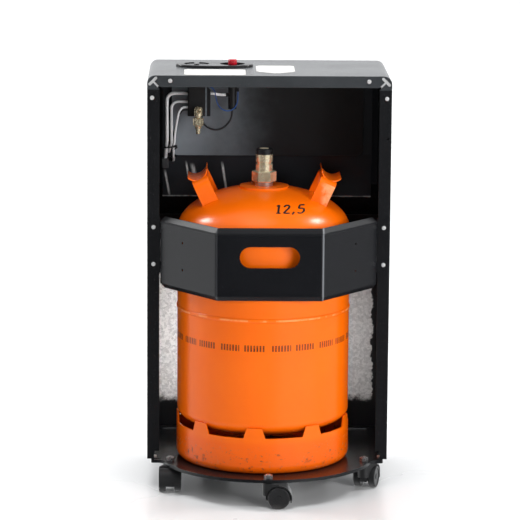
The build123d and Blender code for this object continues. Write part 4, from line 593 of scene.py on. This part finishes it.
# ---- Top labels ----
# Two satin paper labels with rounded corners, glued flat on the top sheet behind the
# controls. Both are bare here, and they are 0.2 mm thick.
sheet_top, label_thickness, corner_radius = 0.7251, 0.0002, 0.004
label_paper, place, rounded, edge = finish("label_paper")
fibre = place.noise(260.0, 4.0, 0.65)
yellowed = place.noise(18.0, 3.0)
shade(label_paper, Base_Color=yellowed.mix((0.56, 0.55, 0.52), (0.66, 0.65, 0.63)),
      Roughness=0.46 + fibre * 0.10, Normal=fibre.bump(0.00006, 0.5))
for name, outline in (
        ("label_left", [(-0.147, -0.040), (-0.041, -0.040), (-0.041, 0.043), (-0.147, 0.043)]),
        ("label_right", [(-0.022, 0.010), (0.012, -0.015), (0.045, 0.010), (0.045, 0.101),
                         (-0.022, 0.101)])):
    mesh = bmesh.new()
    mesh.faces.new([mesh.verts.new((x, y, sheet_top)) for x, y in outline])
    bmesh.ops.bevel(mesh, geom=mesh.verts[:], offset=corner_radius, segments=4,
                     affect="VERTICES")
    raised = bmesh.ops.extrude_face_region(mesh, geom=mesh.faces[:])["geom"]
    bmesh.ops.translate(mesh, vec=(0, 0, label_thickness),
                        verts=[v for v in raised if isinstance(v, bmesh.types.BMVert)])
    bmesh.ops.recalc_face_normals(mesh, faces=mesh.faces[:])
    label = add_piece(name, mesh, label_paper)
    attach(label, "heater")

# ---- Rear guard ----
# A bent band of the same black sheet hooks on four studs and holds the bottle in. Its
# slot has a flanged lip so that it can be lifted off by hand. Its folds carry painted highlights.
fold_left, fold_right = -0.0900, 0.0905
guard_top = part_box("rear_guard")[1].z
guard_coat, place, rounded, edge = finish("guard_coat")
x_at, z_at = place.axis("X"), place.axis("Z")
hem = z_at.fade(guard_top - 0.014, guard_top - 0.008)
peel = place.noise(1400.0)
cloud = place.noise(8.0, 4.0, 0.6)
dust = place.noise(520.0, 3.0, 0.7).fade(0.66, 0.72)
rub = edge * place.noise(60.0, 4.0, 0.7).fade(0.45, 0.7)
colour = cloud.mix((0.0050, 0.0053, 0.0066), (0.0085, 0.0090, 0.0110))
colour = (dust * 0.3).mix(colour, (0.09, 0.09, 0.095))
colour = (rub * 0.4).mix(colour, (0.14, 0.14, 0.145))
# painted highlights along the two folds, bright on the right one and faint on the left
for fold_x, glint_strength in ((fold_right, 0.75), (fold_left, 0.14)):
    fold_glint = (1 - abs(x_at - fold_x).fade(0.0002, 0.0024)) * (0.4 + cloud * 0.8) * glint_strength
    colour = fold_glint.mix(colour, (0.26, 0.27, 0.29))
shade(guard_coat, Base_Color=colour, Roughness=0.14 + cloud * 0.10 + dust * 0.2 + hem * 0.30,
      Normal=peel.bump(0.00012, 0.7, rounded))
cover(guard_coat, "rear_guard")

# ---- Gas bottle ----
# A welded steel bottle in glossy orange enamel, handled and refilled many times. The foot
# ring is chipped to dark primer near the ground, the front of the right handle and the weld
# bead carry painted highlights, and a ring of short ticks is printed round the body.
axis_x, axis_y, body_radius = -0.008, -0.01325, 0.150
bead_z = 0.3195
tick_low, tick_high = 0.2660, 0.2773
tick_pitch, tick_share = 0.0053, 0.56
group_pitch, group_share = 0.0450, 0.80
ring_top, chips_top, dirt_top = (0.100, 0.112), (0.082, 0.105), (0.07, 0.16)
glint_left, glint_right = (0.086, 0.096), (0.112, 0.124)
glint_foot, glint_top = (0.497, 0.506), (0.534, 0.546)
orange, place, rounded, edge = finish("orange_enamel")
x_at, y_at, z_at = place.axis("X"), place.axis("Y"), place.axis("Z")
around = place.math("ARCTAN2", y_at - axis_y, x_at - axis_x) * body_radius
tick = place.math("FRACT", around / tick_pitch) < tick_share
group = place.math("FRACT", around / group_pitch) < group_share
tall = z_at.fade(tick_low, tick_low + 0.0005) * (1 - z_at.fade(tick_high - 0.0005, tick_high))
ink = place.noise(300.0, 4.0, 0.7).fade(0.30, 0.55)
printed = tick * group * tall * (0.60 + ink * 0.40)
cloud = place.noise(9.0, 4.0, 0.6)
peel = place.noise(420.0)
wave = place.noise(26.0)
near_floor = 1 - z_at.fade(*chips_top)
chips = place.noise(150.0, 5.0, 0.72).fade(0.57, 0.64) * near_floor
chips = chips * place.noise(24.0, 3.0).fade(0.36, 0.58)
drag = place.stretched(60.0, 60.0, 300.0).noise(1.0, 4.0, 0.7).fade(0.63, 0.68)
chips = chips.larger(drag * near_floor)
chips = chips.larger(edge * place.noise(110.0, 4.0, 0.7).fade(0.58, 0.68) * 0.8)
dirt = place.noise(45.0, 5.0, 0.75).fade(0.58, 0.78) * (1 - z_at.fade(*dirt_top))
ring = 1 - z_at.fade(*ring_top)
bead = 1 - abs(z_at - bead_z).fade(0.0008, 0.0022)
# painted highlight: a broken pale line along the weld bead
bead_glint = bead * place.noise(36.0, 4.0, 0.7).fade(0.42, 0.58)
# painted highlight: a pale patch on the front face of the right handle
handle_glint = (place.facing("Y") < -0.9) * x_at.fade(*glint_left) * (1 - x_at.fade(*glint_right))
handle_glint = handle_glint * z_at.fade(*glint_foot) * (1 - z_at.fade(*glint_top))
handle_glint = handle_glint * place.noise(60.0, 4.0, 0.7).fade(0.25, 0.6)
paint = cloud.mix((0.90, 0.128, 0.0010), (0.97, 0.168, 0.0016))
paint = (ring * 0.8).mix(paint, cloud.mix((0.86, 0.100, 0.0012), (0.93, 0.140, 0.0020)))
paint = (bead_glint * 0.55).mix(paint, (0.98, 0.42, 0.14))
paint = (handle_glint * 0.75).mix(paint, (0.98, 0.46, 0.22))
paint = (dirt * 0.35).mix(paint, (0.35, 0.12, 0.03))
paint = (chips * 0.90).mix(paint, (0.055, 0.022, 0.012))
paint = (printed * 0.92).mix(paint, (0.055, 0.018, 0.010))
shade(orange, Base_Color=paint, Roughness=0.21 + cloud * 0.07 + chips * 0.3 + dirt * 0.15,
      Specular_IOR_Level=0.42,
      Normal=wave.bump(0.0006, 0.35, peel.bump(0.00010, 0.6, rounded)))
cover(orange, "bottle_body", "bottle_foot_ring", "bottle_handle_left", "bottle_handle_right")

# ---- Neck ring and bottle valve ----
# A plated steel ring is welded round the neck, and the brass valve screws into it. Its
# black rubber seal is a ring round a cream middle.
middle_border = (0.0078, 0.0086)
neck_plating, place, rounded, edge = finish("neck_plating")
cloud = place.noise(60.0, 4.0, 0.6)
shade(neck_plating, Base_Color=cloud.mix((0.50, 0.50, 0.48), (0.74, 0.74, 0.72)),
      Metallic=0.85 + cloud * 0.1, Roughness=0.18 + cloud * 0.2,
      Normal=cloud.bump(0.0002, 0.5, rounded))
cover(neck_plating, "bottle_neck_ring")
cover(brass, "bottle_valve")
cap, place, rounded, edge = finish("valve_cap")
grain = place.noise(1800.0)
out_x, out_y = place.axis("X") - axis_x, place.axis("Y") - axis_y
from_axis = place.math("SQRT", out_x * out_x + out_y * out_y)
middle = (1 - from_axis.fade(*middle_border)) * (place.facing("Z") > 0.8)
shade(cap, Base_Color=middle.mix((0.010, 0.010, 0.011), (0.80, 0.68, 0.48)),
      Roughness=0.20 + grain * 0.1, Normal=grain.bump(0.00005, 0.5, rounded))
cover(cap, "bottle_valve_cap")

# ---- Painted number ----
# A plain figure stencilled in dark paint on the shoulder, as on every bottle of the kind.
# Its strokes are 3.5 mm wide and follow the dome, 0.15 mm proud of the enamel.
dark_paint, place, rounded, edge = finish("stencil_paint")
thin = place.noise(420.0, 5.0, 0.75).fade(0.62, 0.78)
shade(dark_paint, Base_Color=thin.mix((0.006, 0.004, 0.004), (0.16, 0.030, 0.005)),
      Roughness=0.62 + thin * 0.1)
strokes = ([(1.5, 19), (5, 23.5), (4.4, 12), (4.2, 0.5)], [(0.5, 0.5), (8, 0.5)],
           [(13.5, 18), (15, 22.5), (19, 23.5), (22, 21), (21.5, 16.5), (17.5, 9.5), (13, 1),
            (23, 1)],
           [(28.5, 5), (29.8, 3), (28.6, -0.5), (26.8, -3)],
           [(46.5, 23), (38.5, 23), (37.4, 13.8), (42, 15), (46, 12.2), (46.3, 6), (43, 1.2),
            (39, 0.2), (36, 3.2)])
longest_step, half_stroke, half_end = 1.2, 1.75, 1.3
start_x, start_z = 0.0099, 0.5006
across_x, across_z = 0.00105, -0.000048
up_x, up_z = 0.00006, 0.000467
paint_radius, dome_z, dome_height = 0.15015, 0.455, 0.07515
mesh = bmesh.new()
for stroke in strokes:
    points = []
    for (u, v), (u_next, v_next) in zip(stroke, stroke[1:]):
        steps = max(2, int(Vector((u_next - u, v_next - v)).length / longest_step))
        points += [Vector((u + (u_next - u) * n / steps, v + (v_next - v) * n / steps))
                   for n in range(steps)]
    points.append(Vector(stroke[-1]))
    for smoothing in range(3):
        softened = [(a + b * 2 + c) / 4 for a, b, c in zip(points, points[1:], points[2:])]
        points = points[:1] + softened + points[-1:]
    rows = []
    for n, point in enumerate(points):
        run = points[min(n + 1, len(points) - 1)] - points[max(n - 1, 0)]
        half = half_stroke if 0 < n < len(points) - 1 else half_end
        side = Vector((-run.y, run.x)).normalized() * half
        row = []
        for border in (point - side, point + side):
            x = start_x + border.x * across_x + border.y * up_x
            z = start_z + border.x * across_z + border.y * up_z
            level = 1 - ((z - dome_z) / dome_height) ** 2
            depth = (paint_radius ** 2 * level - (x - axis_x) ** 2) ** 0.5
            row.append(mesh.verts.new((x, axis_y - depth, z)))
        rows.append(row)
    for (a, b), (c, d) in zip(rows, rows[1:]):
        mesh.faces.new((a, c, d, b)).smooth = True
number_piece = add_piece("shoulder_number", mesh, dark_paint)
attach(number_piece, "bottle")
